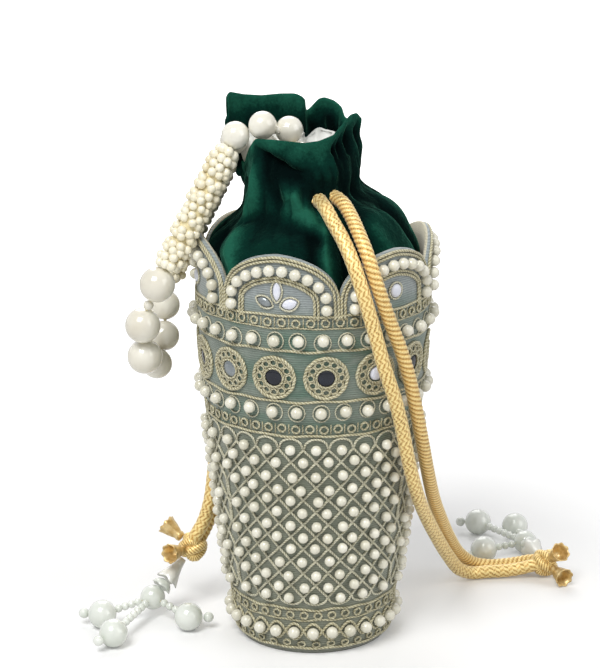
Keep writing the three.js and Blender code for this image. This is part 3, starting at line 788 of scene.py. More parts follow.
basePlan = {
    "girdles": ((17.9, 0.7, 0.4, 0.46, 0.35), (13.6, 2.2, 0.3, 0.35, 0.2)),
    "foot": (2.6, 1.0, 0.2, 0.5, 0.35),
    "chains": ((38, 15.7, 5, 0.25, 1.3, 0.45, 0.45), (34, 4.2, 3, 0.3, 1.25, 0.4, 0.42, 0.8)),
    "pearlRow": 9.2, "pearlCount": 28, "pearlRadius": 2.2, "eyeReach": 3.1,
}


# The two threads that cross between the pearls lie at height row + and - reach cos(count a / 2)
def makeBase():
    plan = basePlan
    angles = evenAngles(280)[None]
    threads = [girdle(*values) for values in plan["girdles"]]
    for reach in (plan["eyeReach"], -plan["eyeReach"]):
        heights = plan["pearlRow"] + reach * np.cos(angles * plan["pearlCount"] / 2)
        threads.append(threadArrays(angles, heights, 0.45, 0.5, 5, looped=True))
    threads += [ringRow(*values) for values in plan["chains"]] + [girdle(*plan["foot"])]
    makePiece("base_threads", threads, zari)
    angles = evenAngles(plan["pearlCount"])
    pearls = sewnPearls(angles, plan["pearlRow"] + waver(angles * 9, 1, 0.3), plan["pearlRadius"])
    makePiece("base_pearls", [pearls], sewingPearl)


makeBase()
print("lattice and base embroidered")


# Velvet neck and its lining

neckSizes = {
    "lean": (-3.9, 0.9), "mouthLean": (-2.4, 0.5), "tilt": 0.2, "mouthTilt": 0.25,
    "shoulder": 135.0, "gather": 162.2, "mouth": 187.0, "mouthRadius": 22.0,
    "columns": 380, "rows": 128, "thickness": 1.0, "hem": 8.5, "ridge": 0.45,
    "heights": (122.6, 129.0, 135.0, 143.0, 150.3, 155.6, 158.9, 162.2, 167.8, 171.6, 175.6, 187.0),
    "radii": (38.6, 38.6, 38.6, 37.5, 34.2, 28.8, 23.2, 21.0, 20.9, 21.2, 22.0, 22.0),
}
neckTurn = evenAngles(neckSizes["columns"])


def easeStep(value, start, end):
    share = np.clip((value - start) / (end - start), 0, 1)
    return share * share * (3 - 2 * share)


# The upright neck's points moved to where the drawn neck leans
def leanNeck(points):
    x, y, z = points[..., 0], points[..., 1], points[..., 2]
    neck = easeStep(z, neckSizes["shoulder"], neckSizes["gather"] - 2.2)
    mouth = easeStep(z, neckSizes["gather"] + 5.8, neckSizes["mouth"] - 3)
    return np.stack([
        x + neckSizes["lean"][0] * neck + neckSizes["mouthLean"][0] * mouth,
        y + neckSizes["lean"][1] * neck + neckSizes["mouthLean"][1] * mouth,
        z + neckSizes["tilt"] * x * neck + neckSizes["mouthTilt"] * y * mouth,
    ], axis=-1)


# The mouth's edge, each place with the turn in degrees of the cloth that reaches it: the front lip, the
# right hump, the rear right lobes, the square flap at the rear left, and the dip under the handle's strands
mouthEdge = (
    (-2.5, -7.2, -18.9, 182.9), (13, -1.8, -18, 183.2), (32, 4.1, -15.3, 184.6), (52, 8.8, -10.2, 187.4),
    (70, 12.5, -4.8, 189.3), (81, 15.6, -1.3, 189.2), (90, 17.9, 1.8, 186.6), (101, 15.6, 5.4, 184.6),
    (111, 13.4, 9.3, 186.3), (121, 13.3, 13.4, 189.1), (130, 11.3, 15.9, 190.8), (139, 8.3, 18.6, 191.6),
    (146, 6.1, 20.1, 190.7), (153, 3.2, 19.8, 188), (158, 1, 18.2, 187), (163, -0.6, 14.4, 189.5),
    (167, -1.4, 10.8, 193.5), (172, -3.4, 12.2, 194.5), (184, -8, 18, 193.6), (200, -13.8, 21.6, 192.6),
    (216, -20.5, 21.8, 193.2), (230, -26.3, 19.2, 194.8), (236, -27.6, 17.8, 193), (242, -26.6, 17.6, 184),
    (249, -23.5, 15.5, 172.6), (256, -22.8, 11.5, 170.8), (264, -23, 7.5, 171.8), (272, -23.2, 3, 175.2),
    (281, -23, -1.4, 179), (297, -22.4, -7.4, 182.8), (320, -18.1, -13.4, 183.5), (342, -12.1, -17.8, 183.4),
)

# Folds of the velvet: the (turn in degrees, height) places along each, how far it stands out, and its half
# width
neckFolds = (
    (((-62, 185), (-33, 178.2), (-14, 172.4), (0, 163.5)), -3.0, 2.4),
    (((-30, 176.6), (-17, 172.4)), -3.2, 3.2),
    (((-47, 181), (-45, 171), (-33, 165)), -2.4, 2.2),
    (((-60, 178), (-66, 168), (-69, 160), (-64, 154), (-58, 146), (-55, 139)), 2.6, 3.4),
    (((-84, 172), (-88, 162), (-82, 152), (-74, 143), (-68, 136)), -3.4, 2.6),
    (((-70, 158.5), (-55, 159.8), (-24, 157.6), (-10, 155.2), (-4, 152.6)), -2.6, 2.0),
    (((-20, 166.5), (-12, 160.5), (-8, 156.6)), 2.8, 3.4),
    (((1, 154), (-3, 146), (-4, 137)), 2.2, 2.4),
    (((-8, 153), (-11, 145.6), (-12, 137)), -2.0, 2.2),
    (((10, 154), (6, 145), (5, 137)), -2.6, 2.2),
    (((7, 167.5), (16, 166.4), (25, 166.4)), -2.8, 2.4),
    (((27, 179), (22, 163)), 1.4, 1.4),
    (((34, 185), (30, 174), (28, 162)), -3.0, 1.8),
    (((46, 186), (38, 174), (35, 162)), -2.6, 1.8),
    (((60, 186), (52, 172), (48, 160)), -3.0, 2.0),
    (((84, 187), (78, 176), (72, 162)), -2.6, 2.2),
    (((48, 162), (58, 157), (64, 151), (70, 143), (73, 137)), -3.6, 2.4),
    (((40, 161), (30, 156.5), (23, 151), (19, 143)), -2.2, 2.2),
    (((33, 150), (38, 142)), 1.6, 4.0),
    (((86, 163), (92, 155), (95, 145)), -2.6, 2.4),
    (((110, 185), (108, 172), (112, 158), (118, 146)), -2.8, 2.4),
    (((132, 182), (134, 168), (136, 156), (138, 144)), -2.4, 2.2),
    (((158, 184), (158, 170), (160, 157), (163, 143)), -3.2, 2.6),
    (((185, 165), (188, 156), (190, 142)), -2.8, 2.6),
    (((204, 180), (206, 166), (209, 154), (213, 143)), -2.4, 2.2),
    (((228, 176), (230, 163), (233, 152), (236, 141)), -3.0, 2.4),
    (((252, 168), (254, 160), (257, 149), (260, 140)), -2.6, 2.4),
)


# How far each place of the cloth stands out: each fold adds size e^(-(d / width)^1.3), d being the distance
# to its line, and the pleats of the gather add small waves
def neckRelief(heights, radii):
    degrees = np.degrees(neckTurn)[None, :]
    heights, arc = heights[:, None], math.radians(1) * radii[:, None]
    relief = np.zeros((len(heights), neckSizes["columns"]))
    for places, size, width in neckFolds:
        line = smoothLine([(*place, 0) for place in places], 24)[:, :2]
        nearest = np.full(relief.shape, 1e9)
        for start, end in zip(line[:-1], line[1:]):
            across = ((degrees - start[0] + 180) % 360 - 180) * arc
            up = heights - start[1]
            alongX, alongZ = (end[0] - start[0]) * arc, end[1] - start[1]
            share = np.clip((across * alongX + up * alongZ) / (alongX ** 2 + alongZ ** 2 + 1e-9), 0, 1)
            nearest = np.minimum(nearest, np.hypot(across - share * alongX, up - share * alongZ))
        relief += size * np.exp(-(nearest / width) ** 1.3)
    gather = np.exp(-((heights - 165) / 9) ** 2)
    pleats = np.abs(np.sin(14 * neckTurn + 1.2 * np.sin(3 * neckTurn) + 0.04 * heights)) ** 0.7
    wrinkles = np.sin(7 * neckTurn + 0.21 * heights) * np.sin(0.33 * heights - 5 * neckTurn) * 0.35
    relief = relief + gather * (1.3 * pleats - 0.6) + wrinkles * easeStep(heights, 133, 145)
    deepest = np.interp(heights, (150, 157, 174, 178), (-6.0, -0.9, -0.9, -6.0))
    return np.maximum(relief, deepest + 0.25 * (relief - deepest))


# Heights of the cloth's rows and the upright radius at each, from the profile smoothed over 2 mm either
# side
def neckRows(high, count):
    heights = np.linspace(neckSizes["heights"][0], high, count)
    spread = np.array([-2.0, -1.0, 0.0, 1.0, 2.0])
    radii = np.interp(heights[:, None] + spread, neckSizes["heights"], neckSizes["radii"])
    return heights, radii.mean(axis=1)


# The mean of the lowest values within reach rows and columns of each place
def lowNearby(grid, reach):
    shifts = range(-reach, reach + 1)
    for blend in (np.minimum.reduce, lambda layers: np.mean(layers, axis=0)):
        padded = np.pad(grid, ((reach, reach), (0, 0)), mode="edge")
        grid = blend([padded[reach + shift:reach + shift + len(grid)] for shift in shifts])
        grid = blend([np.roll(grid, shift, axis=1) for shift in shifts])
    return grid


# The upright circle (r sin t, -r cos t, z)
def uprightRing(radius, height):
    radius, height = np.broadcast_arrays(radius * np.ones(len(neckTurn)), height)
    return np.stack([radius * np.sin(neckTurn), -radius * np.cos(neckTurn), height], axis=-1)


# The drawn mouth's edge at each column, from its places, smoothed over three columns either side
def mouthRim():
    edge = np.array(mouthEdge)
    edge[:, 0] %= 360
    edge = edge[np.argsort(edge[:, 0])]
    padded = np.concatenate([edge[-3:] - (360, 0, 0, 0), edge, edge[:3] + (360, 0, 0, 0)])
    rim = np.stack([np.interp(np.degrees(neckTurn), padded[:, 0], padded[:, k]) for k in (1, 2, 3)], axis=1)
    kernel = np.array([1, 3, 5, 6, 5, 3, 1]) / 24
    return sum(weight * np.roll(rim, shift, axis=0) for weight, shift in zip(kernel, range(-3, 4)))


# Points of the neck's cloth, rows by columns: the upright profile with its relief, leaned, then drawn over
# to the mouth's edge by a weight that grows from the gather upwards
def neckCloth(heights, radii, crestShare):
    slopeR, slopeZ = np.gradient(radii), np.gradient(heights)
    length = np.hypot(slopeR, slopeZ)
    relief = neckRelief(heights, radii)
    if crestShare < 1:
        relief = lowNearby(np.where(relief > 0, relief * crestShare, relief), 4)
    relief = relief * (1 - easeStep(heights, 180, 187))[:, None]
    upright = uprightRing(radii[:, None] + relief * (slopeZ / length)[:, None],
                          heights[:, None] - relief * (slopeR / length)[:, None])
    pull = mouthRim() - leanNeck(uprightRing(neckSizes["mouthRadius"], neckSizes["mouth"]))
    planWeight = easeStep(heights, 166, 183)
    riseWeight = easeStep(heights, 164, 190) / easeStep(187.0, 164, 190)
    weights = np.stack([planWeight, planWeight, riseWeight], axis=-1)[:, None]
    return leanNeck(upright) + weights * pull, relief


# The cloth moved inwards by its thickness, along the normals of its grid
def innerCloth(outer, thickness):
    around = np.roll(outer, -1, axis=1) - np.roll(outer, 1, axis=1)
    return outer - thickness * unit(np.cross(around, np.gradient(outer, axis=0)))


# The velvet's crest value is its relief / 3, raised near the mouth; the finish paints it as shade in the
# folds, light on the crests and a highlight along the mouth's rolled lip
def makeVelvet():
    heights, radii = neckRows(neckSizes["mouth"], neckSizes["rows"])
    outer, relief = neckCloth(heights, radii, 1.0)
    inner = innerCloth(outer, neckSizes["thickness"])
    ridge = (outer[-1] + inner[-1]) / 2 + np.array([0, 0, neckSizes["ridge"]])
    rings = np.concatenate([outer, ridge[None], inner[::-2]])[None]
    # Painted shade and light from the relief, and a painted highlight near the mouth's rolled lip
    crest = relief / 3 + 0.55 * easeStep(heights, 178, 187)[:, None]
    crest = np.concatenate([crest, crest[-1:], crest[::-2]])
    return makePiece("drawn_velvet", [tubeArrays(rings, looped=True)], velvet, crest=crest,
                     nodes=["velvet_neck"])


liningSizes = {
    "rows": 90, "crestShare": 0.3, "room": 2.3, "cordRoom": 4.8, "thickness": 0.5,
    "cupRows": 40, "cupGap": 0.35, "billow": 0.25, "floor": 2.9, "floorTop": 3.4, "lowest": 3.3,
    "floorRings": (0.25, 0.6, 0.9),
}


# The lining: inside the neck it keeps clear of the drawstrings, and below it is a cup against the shell and
# panel
def makeLining():
    sizes = liningSizes
    heights, radii = neckRows(neckSizes["mouth"] - neckSizes["hem"], sizes["rows"])
    nearCords = easeStep(heights, 150, 158) * (1 - easeStep(heights, 171, 177))
    room = sizes["room"] + sizes["cordRoom"] * nearCords
    outer = neckCloth(heights, radii - room, sizes["crestShare"])[0]
    low = np.linspace(sizes["floor"], neckSizes["heights"][0] - 1, sizes["cupRows"])[:, None]
    billow = sizes["billow"] * (np.sin(9 * neckTurn + low * 0.05) - 1)
    cup = uprightRing(shellRadius(low[:, 0])[:, None] - shellSizes["wall"] - sizes["cupGap"] + billow, low)
    outer = np.concatenate([cup, outer])
    inner = innerCloth(outer, sizes["thickness"])
    inner[:, :, 2] = np.maximum(inner[:, :, 2], sizes["lowest"])
    under = np.array(sizes["floorRings"])[:, None, None] * cup[0]
    under[..., 2] = sizes["floor"]
    over = under[::-1] + np.array([0, 0, sizes["floorTop"] - sizes["floor"]])
    rings = np.concatenate([under, outer, inner[::-2], over])[None]
    poles = tuple(np.array([[0, 0, height]]) for height in (sizes["floor"], sizes["floorTop"]))
    return makePiece("loose_lining", [tubeArrays(rings, poles)], satin,
                     nodes=["satin_lining"])


velvetCloth = makeVelvet()
liningCloth = makeLining()
print("velvet and lining made")


# Drawstrings

cordSizes = {"radius": 2.5, "insideRadius": 2.4, "step": 0.42, "floor": 0.15}
cordRoutes = {
    "front_cord_a": ("plaited", (
        (-2.3, -16, 163.9), (-2.05, -18.8, 163.3), (-1.75, -21.6, 162.6), (-1.3, -25.6, 161.6),
        (-0.1, -31.2, 158.2), (1.8, -37.4, 153.6), (3.6, -43.4, 147.6), (6.3, -46.2, 138.3),
        (10.6, -45.8, 124), (15, -44.4, 109.2), (19.2, -42, 97.5), (22.9, -38.4, 85.1), (26.2, -34.4, 72.5),
        (31.2, -27, 58.4), (38.3, -13.5, 44.3), (46.9, 1.8, 29.6), (55.8, 16.6, 15.6), (63, 26, 6.1),
        (69, 29.3, 2.9), (75.8, 29.3, 2.8), (81.8, 28.6, 2.9), (87.6, 27.6, 3.7), (92, 26.2, 5.1),
        (95.4, 26.4, 5.5),
    )),
    "front_cord_b": ("twisted", (
        (2.5, -14.3, 164.5), (3.2, -17.1, 164.1), (3.9, -19.9, 163.7), (5, -24.2, 163), (6.3, -30.2, 159.8),
        (7.4, -37.2, 155.2), (9, -43, 149), (11.8, -45.4, 139.2), (16.4, -43.9, 126.7),
        (20.6, -41.9, 116.5), (24.4, -39.7, 105.7), (28.4, -35.8, 91.4), (32.2, -30.2, 78),
        (37, -20.6, 63.2), (43.4, -6.4, 47.4), (49.8, 6, 34.6), (57.2, 20, 21.4), (64.4, 30.9, 10.6),
        (71.4, 35.6, 4.4), (77.6, 35.6, 2.9), (83.4, 35, 2.9), (89, 33.8, 3.7), (93.6, 31.4, 5.1),
        (96, 28.6, 5.5),
    )),
    "rear_cord_a": ("plaited", (
        (-11.4, 18.8, 167), (-12, 21.6, 166.3), (-12.9, 25.8, 165.2), (-13.2, 29.6, 161.4),
        (-13.4, 33.6, 156.4), (-13, 38.6, 152), (-12.3, 43.6, 147.2), (-12.8, 45.2, 138),
        (-14.6, 44.9, 129), (-17.6, 43.6, 118), (-22, 40.9, 100), (-26.7, 35.9, 82), (-29.7, 30.9, 66),
        (-31.8, 26.4, 52), (-33.6, 25, 41.6), (-36, 25.8, 33.4), (-38.9, 26.3, 27.9), (-39.4, 27.6, 24.6),
    )),
    "rear_cord_b": ("twisted", (
        (-5.7, 20.1, 168.1), (-6.3, 22.9, 167.4), (-7.2, 27.2, 166.2), (-7.4, 31.2, 162.2),
        (-7.4, 35.6, 157), (-7, 40.4, 151.8), (-6.4, 44.8, 145.6), (-7.2, 46.6, 137), (-9, 46.5, 129),
        (-12, 45.6, 118), (-16.5, 43.6, 100), (-21.3, 38.9, 82), (-24.8, 34.4, 66), (-27.8, 30.6, 52),
        (-30, 29.4, 41.6), (-32.8, 30.4, 32.8), (-35.7, 30.7, 26.6), (-38, 29.6, 24.2),
    )),
}


# A cord's rings round its line. Plaited: two families of strands, |sin| of the turn plus and minus the
# length, of which each lozenge shows one. Twisted: lobes that climb round, |sin| of the turn plus the
# length. The crest value that comes back with the rings is painted by the gold finish as shade in the
# furrows and a highlight on the crests.
def cordRings(line, radius, lay, sides=32):
    length = reachAlong(line)[:, None]
    turn = evenAngles(sides)
    if lay == "plaited":
        climbing, falling = (np.sin(4 * turn + sign * math.pi * length / 3.3) for sign in (1, -1))
        crest = np.where(climbing * falling > 0, np.abs(climbing), np.abs(falling)) ** 0.6
        reach = radius * (0.86 + 0.15 * crest)
    else:
        fine = 0.12 * np.sin(turn * 12 - length * 5.2)
        crest = np.abs(np.sin(2 * turn + math.pi * length / 1.95)) ** 0.6 * (0.9 + fine)
        reach = radius * (0.8 + 0.21 * crest)
    return ringsAbout(line, reach, turn, *carriedFrames(line)), crest


def makeCords():
    made = {}
    for name, (lay, route) in cordRoutes.items():
        rough = reachAlong(np.array(route))[-1]
        line = smoothLine(route, int(rough / cordSizes["step"]))
        rings, crest = cordRings(line, cordSizes["radius"], lay)
        rings[..., 2] = np.maximum(rings[..., 2], cordSizes["floor"])
        piece = makePiece("drawstring_" + name.replace("_cord", ""), [tubeArrays(rings[None])], goldCord,
                          crest=crest, nodes=[name])
        made[name] = (piece, line)
    return made


casingSizes = {
    "round": 16.6,
    "exit": ((2.9, -21.2), (3.0, -18.6), (6.6, -15.7)),  # from the exit in to the round
    "rings": (("front", 162.2, 13), ("rear", 167.8, 193)),  # name, height and the exit's turn in degrees
}


# The drawstrings inside the neck, round the casing with both ends turned out of the exit
def makeCasings():
    around = np.radians(np.arange(50, 311, 20))
    circle = casingSizes["round"] * np.stack([np.sin(around), -np.cos(around)], axis=1)
    ends = np.array(casingSizes["exit"])
    x, y = np.concatenate([ends, circle, ends[::-1] * (-1, 1)]).T
    for name, height, degrees in casingSizes["rings"]:
        cosine, sine = math.cos(math.radians(degrees)), math.sin(math.radians(degrees))
        flat = np.stack([x * cosine - y * sine, x * sine + y * cosine, np.full(len(x), height)], axis=1)
        rings, crest = cordRings(smoothLine(leanNeck(flat), 200), cordSizes["insideRadius"], "plaited", 18)
        makePiece(name + "_drawstring_inside", [tubeArrays(rings[None])], goldCord, crest=crest,
                  nodes=[name + "_casing_cord"])


cords = makeCords()
makeCasings()
print("drawstrings made")


# Tassels

turnedHint = (0.31, 0.52, 0.8)


# Turned shapes about an axis: (radius, reach) along the profile, with the radius waved by 1 + flute
# cos(lobes t) and the end of the profile drawn out by frill cos(lobes t)
def turnedArrays(profile, start, axis, sides, lobes, flute, frill):
    axis = unit(axis)
    turn = evenAngles(sides)
    wide, high = np.array(profile, float).T[:, :, None]
    outward = high / high.max()
    reach = wide * (1 + flute * outward * np.cos(lobes * turn))
    along = high + frill * outward ** 3 * np.cos(lobes * turn)
    rings = ringsAbout(start, reach, turn, *sidesOf(axis, turnedHint)) + along[..., None] * axis
    return tubeArrays(rings[None])


# A round knot: turns of cord about the axis, winding out and back
def knotArrays(place, axis, radius, length, cord):
    axis = unit(axis)
    across, beside = sidesOf(axis, turnedHint)
    t = evenAngles(420)[:, None]
    wide = (radius - cord) * (0.86 + 0.16 * np.cos(5 * t))
    line = place + wide * (np.cos(3 * t) * across + np.sin(3 * t) * beside)
    line = line + (length / 2 - 1.6) * np.sin(5 * t) * axis
    tangents = unit(np.roll(line, -1, axis=0) - np.roll(line, 1, axis=0))
    outward = unit(np.cross(tangents, unit(line - place)))
    turn = evenAngles(18)
    # Crest value of the knot's cord, painted by the gold finish as shade in its furrows and a highlight on
    # its crests
    crest = np.abs(np.sin(turn * 2 + t * 60)) ** 0.7
    return ringsAbout(line, cord * (0.84 + 0.2 * crest), turn, outward, np.cross(outward, tangents)), crest


tasselSizes = {
    "knotRadius": 5.2, "knotLength": 8.6, "knotCord": 1.75, "core": 3.4, "coneLength": 10.0,
    "capLength": 3.0, "hub": 4.6, "drop": 5.2,
    "seed": 1.5, "tip": 1.9, "gap": 0.3, "floor": 0.2, "thread": 0.3,
    # (radius, reach) along each turned shape
    "bell": ((0.3, 0), (1.7, 0.1), (2.0, 1.2), (1.8, 2.0), (2.3, 3.2), (2.8, 4.8), (3.2, 6.6), (3.7, 7.9),
             (3.5, 8.1), (3.1, 7.6), (2.6, 6.4), (2.1, 4.8), (1.5, 3.6), (0.4, 3.3)),
    "cone": ((0.3, 0), (1.2, 0.1), (1.5, 1.6), (1.9, 3.6), (2.6, 5.8), (3.5, 8.0), (4.25, 9.8), (4.1, 10.0),
             (3.5, 9.3), (2.6, 8.4), (1.2, 7.9), (0.3, 7.8)),
    "cap": ((0.3, 0), (1.5, 0.1), (2.7, 0.8), (3.5, 1.8), (3.9, 3.0), (3.7, 3.1), (3.1, 2.3),
            (1.6, 1.7), (0.3, 1.6)),
}
tasselPlans = {
    "right": {
        "knot": (97.6, 26.8, 5.6), "cordFrom": (92.9, 28.8, 5.1), "hub": (97.3, 51.6, 4.9),
        "bells": ((0.185, -0.78, 0.6), (0.26, -0.96, -0.13)),
        "drops": ((85.2, 76.6, 5.3), (78.7, 46.4, 5.3), (98.4, 69, 5.3)),
        "tips": ((80.1, 79.9, 4.6), (74.1, 45.1, 4.6), (101.4, 74, 4.6)),
    },
    "left": {
        "knot": (-39.6, 28.6, 22.8), "cordFrom": (-37.5, 28.5, 26.7), "hub": (-56, 21.6, 7),
        "bells": ((-0.56, 0.48, 0.45), (-0.76, -0.65, 0.1)),
        "drops": ((-75.9, 13.6, 5.3), (-74.4, -4.8, 5.3), (-45.6, 4.4, 5.3)),
        "tips": ((-82.3, 17.7, 4.6), (-80.6, -9.2, 4.6), (-39.2, 4.2, 4.6)),
    },
}


def makeTassel(side, plan):
    sizes = tasselSizes
    gap = sizes["gap"]
    knot, hub, cordFrom, bells, drops, tips = (
        np.array(plan[key], float) for key in ("knot", "hub", "cordFrom", "bells", "drops", "tips"))

    def tasselPiece(name, parts, finish, nodes=(), crest=None):
        nodes = [side + "_" + node for node in nodes]
        return makePiece(side + "_" + name, parts, finish, crest=crest, nodes=nodes)

    rings, crest = knotArrays(knot, cordFrom - knot, sizes["knotRadius"], sizes["knotLength"],
                              sizes["knotCord"])
    rings[..., 2] = np.maximum(rings[..., 2], sizes["floor"])
    core = ballArrays([knot], sizes["core"], 16, 9, knot - cordFrom, 1.05)
    bellStarts = [alongLine(knot, knot + way, sizes["knotRadius"] + gap) for way in bells]
    bellArrays = [turnedArrays(sizes["bell"], start, way, 40, 8, 0.05, 0.25)
                  for start, way in zip(bellStarts, bells)]
    axis = unit(hub - knot)
    capStart = hub - axis * (sizes["hub"] + gap + sizes["capLength"])
    coneStart = capStart - axis * (sizes["coneLength"] + gap)
    pieces = [
        tasselPiece("cord_knot", [tubeArrays(rings[None], looped=True)], goldCord, ["knot"],
                    crest),
        tasselPiece("knot_core", [core], goldMetal),
        tasselPiece("bells", bellArrays, goldMetal, ["bell_1", "bell_2"]),
        tasselPiece("lily", [turnedArrays(sizes["cone"], coneStart, axis, 42, 5, 0.1, 0.5)], lilyWhite,
                    ["cone"]),
        tasselPiece("cup", [turnedArrays(sizes["cap"], capStart, axis, 36, 6, 0.04, 0.2)], coolPearl,
                    ["cap"]),
    ]
    tips = np.array([alongLine(drop, tip, sizes["drop"] + sizes["tip"] + gap)
                     for drop, tip in zip(drops, tips)])
    for name, centres, radius, nodes in (
        ("hub", hub, sizes["hub"], ["hub_pearl"]),
        ("drops", drops, sizes["drop"], ["drop_1", "drop_2", "drop_3"]),
        ("tips", tips, sizes["tip"], ["tip_1", "tip_2", "tip_3"]),
    ):
        balls = ballArrays(centres, radius, 36, 19)
        pieces.append(tasselPiece(name, [balls], coolPearl, nodes))
    beads, threads = [], []
    for drop in drops:
        start = alongLine(hub, drop, sizes["hub"] + gap)
        strand = alongLine(drop, hub, sizes["drop"] + gap) - start
        count = max(1, int(round(np.linalg.norm(strand) / (2.05 * sizes["seed"]))))
        share = (np.arange(count)[:, None] + 0.5) / count
        beads.append(ballArrays(start + share * strand, sizes["seed"], 18, 9))
        threads.append(plainTube(start + np.linspace(-0.2, 1.2, 4)[:, None] * strand, sizes["thread"]))
    seeds = ["seeds_1", "seeds_2", "seeds_3"]
    pieces.append(tasselPiece("seed_beads", beads, coolPearl, seeds))
    pieces.append(tasselPiece("bead_threads", threads, coreThread))
    return pieces


tassels = {side: makeTassel(side, plan) for side, plan in tasselPlans.items()}
print("tassels made")


# Handle

handleSizes = {
    "rowPitch": 2.75, "around": 8, "pearl": 1.62, "core": 3.3,
    "reach": 3.95, "endReach": 3.0, "rowTurn": 0.09,
    "frontEnd": (-52.9, -4.3, 138.6), "rimGap": 5.2, "spacerGap": 2.1, "thread": 0.5,
    "smallBead": {"radius": 1.5, "shift": (0, -1.2, -0.6)},
}


# A node's middle and half height, in mm
def nodeBall(name):
    low, high = (np.array(corner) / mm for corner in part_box(name))
    return (low + high) / 2, (high[2] - low[2]) / 2


# A rope of small pearls: rings of eight about the axis, each ring turned half a step from the last, and
# drawn in at both ends
def makeRope(name, start, end, node):
    sizes = handleSizes
    axis = unit(end - start)
    length = float(np.linalg.norm(end - start))
    rows = int(round(length / sizes["rowPitch"]))
    row, place = np.meshgrid(np.arange(rows), np.arange(sizes["around"]), indexing="ij")
    along = (row + 0.5) / rows * length + waver(row * 3 + place * 5, 1.0, 0.9)
    turn = (tau * (place + 0.5 * (row % 2)) / sizes["around"] + sizes["rowTurn"] * row
            + waver(place * 7 + row, 2.0, 0.12))
    reach = np.where(np.minimum(row, rows - 1 - row) == 0, sizes["endReach"], sizes["reach"])
    reach = reach + waver(row * 7 + place * 3, 0.4, 0.3)
    across, beside = sidesOf(axis, (0.0, 1.0, 0.0))
    centres = start + along[..., None] * axis + reach[..., None] * (
        np.cos(turn)[..., None] * across + np.sin(turn)[..., None] * beside
    )
    radii = sizes["pearl"] + waver(row * 5 + place * 11, 0.7, 0.2)
    makePiece(name + "_pearls", [ballArrays(centres, radii.ravel(), 12, 6)], ropePearl, "handle",
              nodes=[node])
    core = plainTube(start + np.linspace(0.01, 0.99, 12)[:, None] * (end - start), sizes["core"], 16)
    makePiece(name + "_core", [core], coreThread, "handle")


def makeHandle():
    sizes = handleSizes
    loopNames = ["loop_pearl_%d" % number for number in range(1, 7)]
    mouthNames = ["mouth_pearl_%d" % number for number in range(1, 5)]
    spacers = ["spacer_bead_1", "spacer_bead_2"]
    for body, names in (
        ("handle", ["rim_pearl_front", "rim_pearl_rear"]),
        ("loop", loopNames + spacers),
        ("bag", mouthNames),
    ):
        balls = [ballArrays([centre], radius, 44, 23) for centre, radius in map(nodeBall, names)]
        makePiece(body + "_large_pearls", balls, loopPearl, body, nodes=names)
    rimFront, rimRear, last = (
        nodeBall(name)[0] for name in ("rim_pearl_front", "rim_pearl_rear", spacers[1]))
    frontEnd = np.array(sizes["frontEnd"])
    makeRope("front_rope", alongLine(rimFront, frontEnd, sizes["rimGap"]), frontEnd, "rope_front")
    rearEnd = alongLine(last, rimRear, sizes["spacerGap"])
    makeRope("rear_rope", alongLine(rimRear, last, sizes["rimGap"]), rearEnd, "rope_rear")
    mouth = [nodeBall(name)[0] for name in mouthNames[:3]]
    makePiece("mouth_thread", [plainTube(smoothLine(mouth, 20), sizes["thread"])], coreThread)
    small = (mouth[0] + mouth[1]) / 2 + np.array(sizes["smallBead"]["shift"])
    makePiece("mouth_small_bead", [ballArrays([small], sizes["smallBead"]["radius"], 20, 11)], loopPearl)
    loop = [nodeBall(name)[0] for name in (loopNames[0], spacers[0], *loopNames[1:], spacers[1])]
    makePiece("loop_thread", [plainTube(smoothLine(loop, 60), sizes["thread"])], coreThread, "loop")


makeHandle()
print("handle made")


# Base panel: the CAD board stays, with the silk on it
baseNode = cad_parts["base_panel"]
baseNode.data.materials.clear()
baseNode.data.materials.append(silk)


# Floor and light

lightSettings = {
    "world": 0.31,
    "glow": (0.15, 0.92),  # the floor's own glow for the camera, beside the pouch and far from it
    "glowReach": (0.14, 0.62),
    "aim": (0.0, 0.0, 0.09),
    # Power, place and size
    "lamps": {
        "key": (17.6, (-0.62, -0.72, 1.3), 0.75),
        "fill": (4.5, (0.95, -0.75, 0.7), 0.9),
        "back": (5.0, (0.1, 0.9, 0.9), 0.8),
    },
    "floorHalf": 6.0,
}


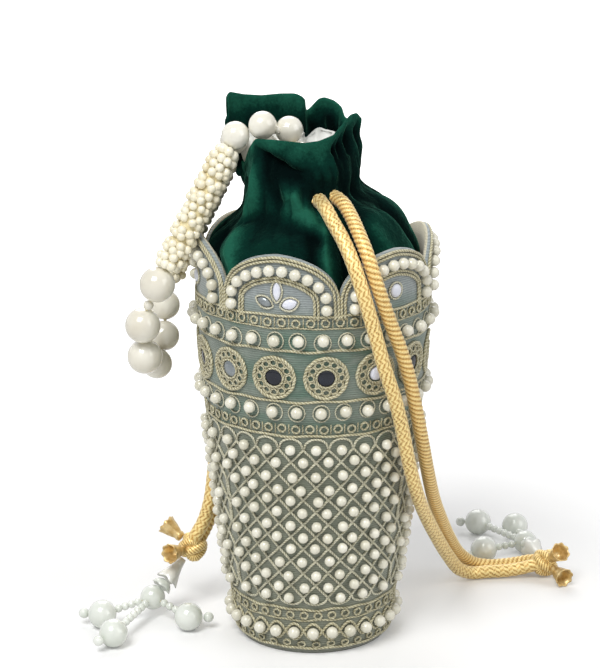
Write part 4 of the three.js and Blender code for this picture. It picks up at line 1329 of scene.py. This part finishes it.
def areaLight(name, power, place, size):
    data = bpy.data.lights.new(name, "AREA")
    data.energy = power
    data.size = size
    lamp = bpy.data.objects.new(name, data)
    scene.collection.objects.link(lamp)
    lamp.location = place
    aim = np.array(lightSettings["aim"]) - np.array(place)
    fall = math.acos(-aim[2] / np.linalg.norm(aim))
    lamp.rotation_euler = (fall, 0, math.atan2(aim[1], aim[0]) - math.pi / 2)


for name, values in lightSettings["lamps"].items():
    areaLight(name, *values)


# White for the camera, in reflections and through glass, and a soft grey-white for light
def makeWorld():
    scene.world = bpy.data.worlds.new("studio")
    scene.world.use_nodes = True
    tree = scene.world.node_tree
    background = tree.nodes["Background"]
    path = addNode(tree, "LightPath", {})
    seen = mathNode(tree, "MAXIMUM", path.outputs["Is Camera Ray"], path.outputs["Is Transmission Ray"])
    seen = mathNode(tree, "MAXIMUM", seen, path.outputs["Is Glossy Ray"])
    level = plus(tree, times(tree, seen, 1 - lightSettings["world"]), lightSettings["world"])
    tree.links.new(level, background.inputs["Strength"])
    background.inputs["Color"].default_value = sceneColour(1)


# A pale floor that glows for the camera only, by its distance from the pouch, so that the shadow still
# shows
def makeFloor():
    half = lightSettings["floorHalf"]
    finish, tree, shader, place = newFinish("paleFloor", 0.82, 0.9, Specular_IOR_Level=0.1)
    distance = addNode(tree, "VectorMath", {0: place}, operation="LENGTH").outputs["Value"]
    near, far = lightSettings["glowReach"]
    low, high = lightSettings["glow"]
    inputs = {"Value": distance, "From Min": near, "From Max": far, "To Min": low, "To Max": high}
    glow = addNode(tree, "MapRange", inputs).outputs["Result"]
    seen = addNode(tree, "LightPath", {}).outputs["Is Camera Ray"]
    shader.inputs["Emission Color"].default_value = sceneColour(1)
    tree.links.new(times(tree, seen, glow), shader.inputs["Emission Strength"])
    mesh = bpy.data.meshes.new("floor")
    corners = [(-half, -half, 0), (half, -half, 0), (half, half, 0), (-half, half, 0)]
    mesh.from_pydata(corners, [], [[0, 1, 2, 3]])
    mesh.materials.append(finish)
    floor = bpy.data.objects.new("floor", mesh)
    scene.collection.objects.link(floor)


makeWorld()
makeFloor()
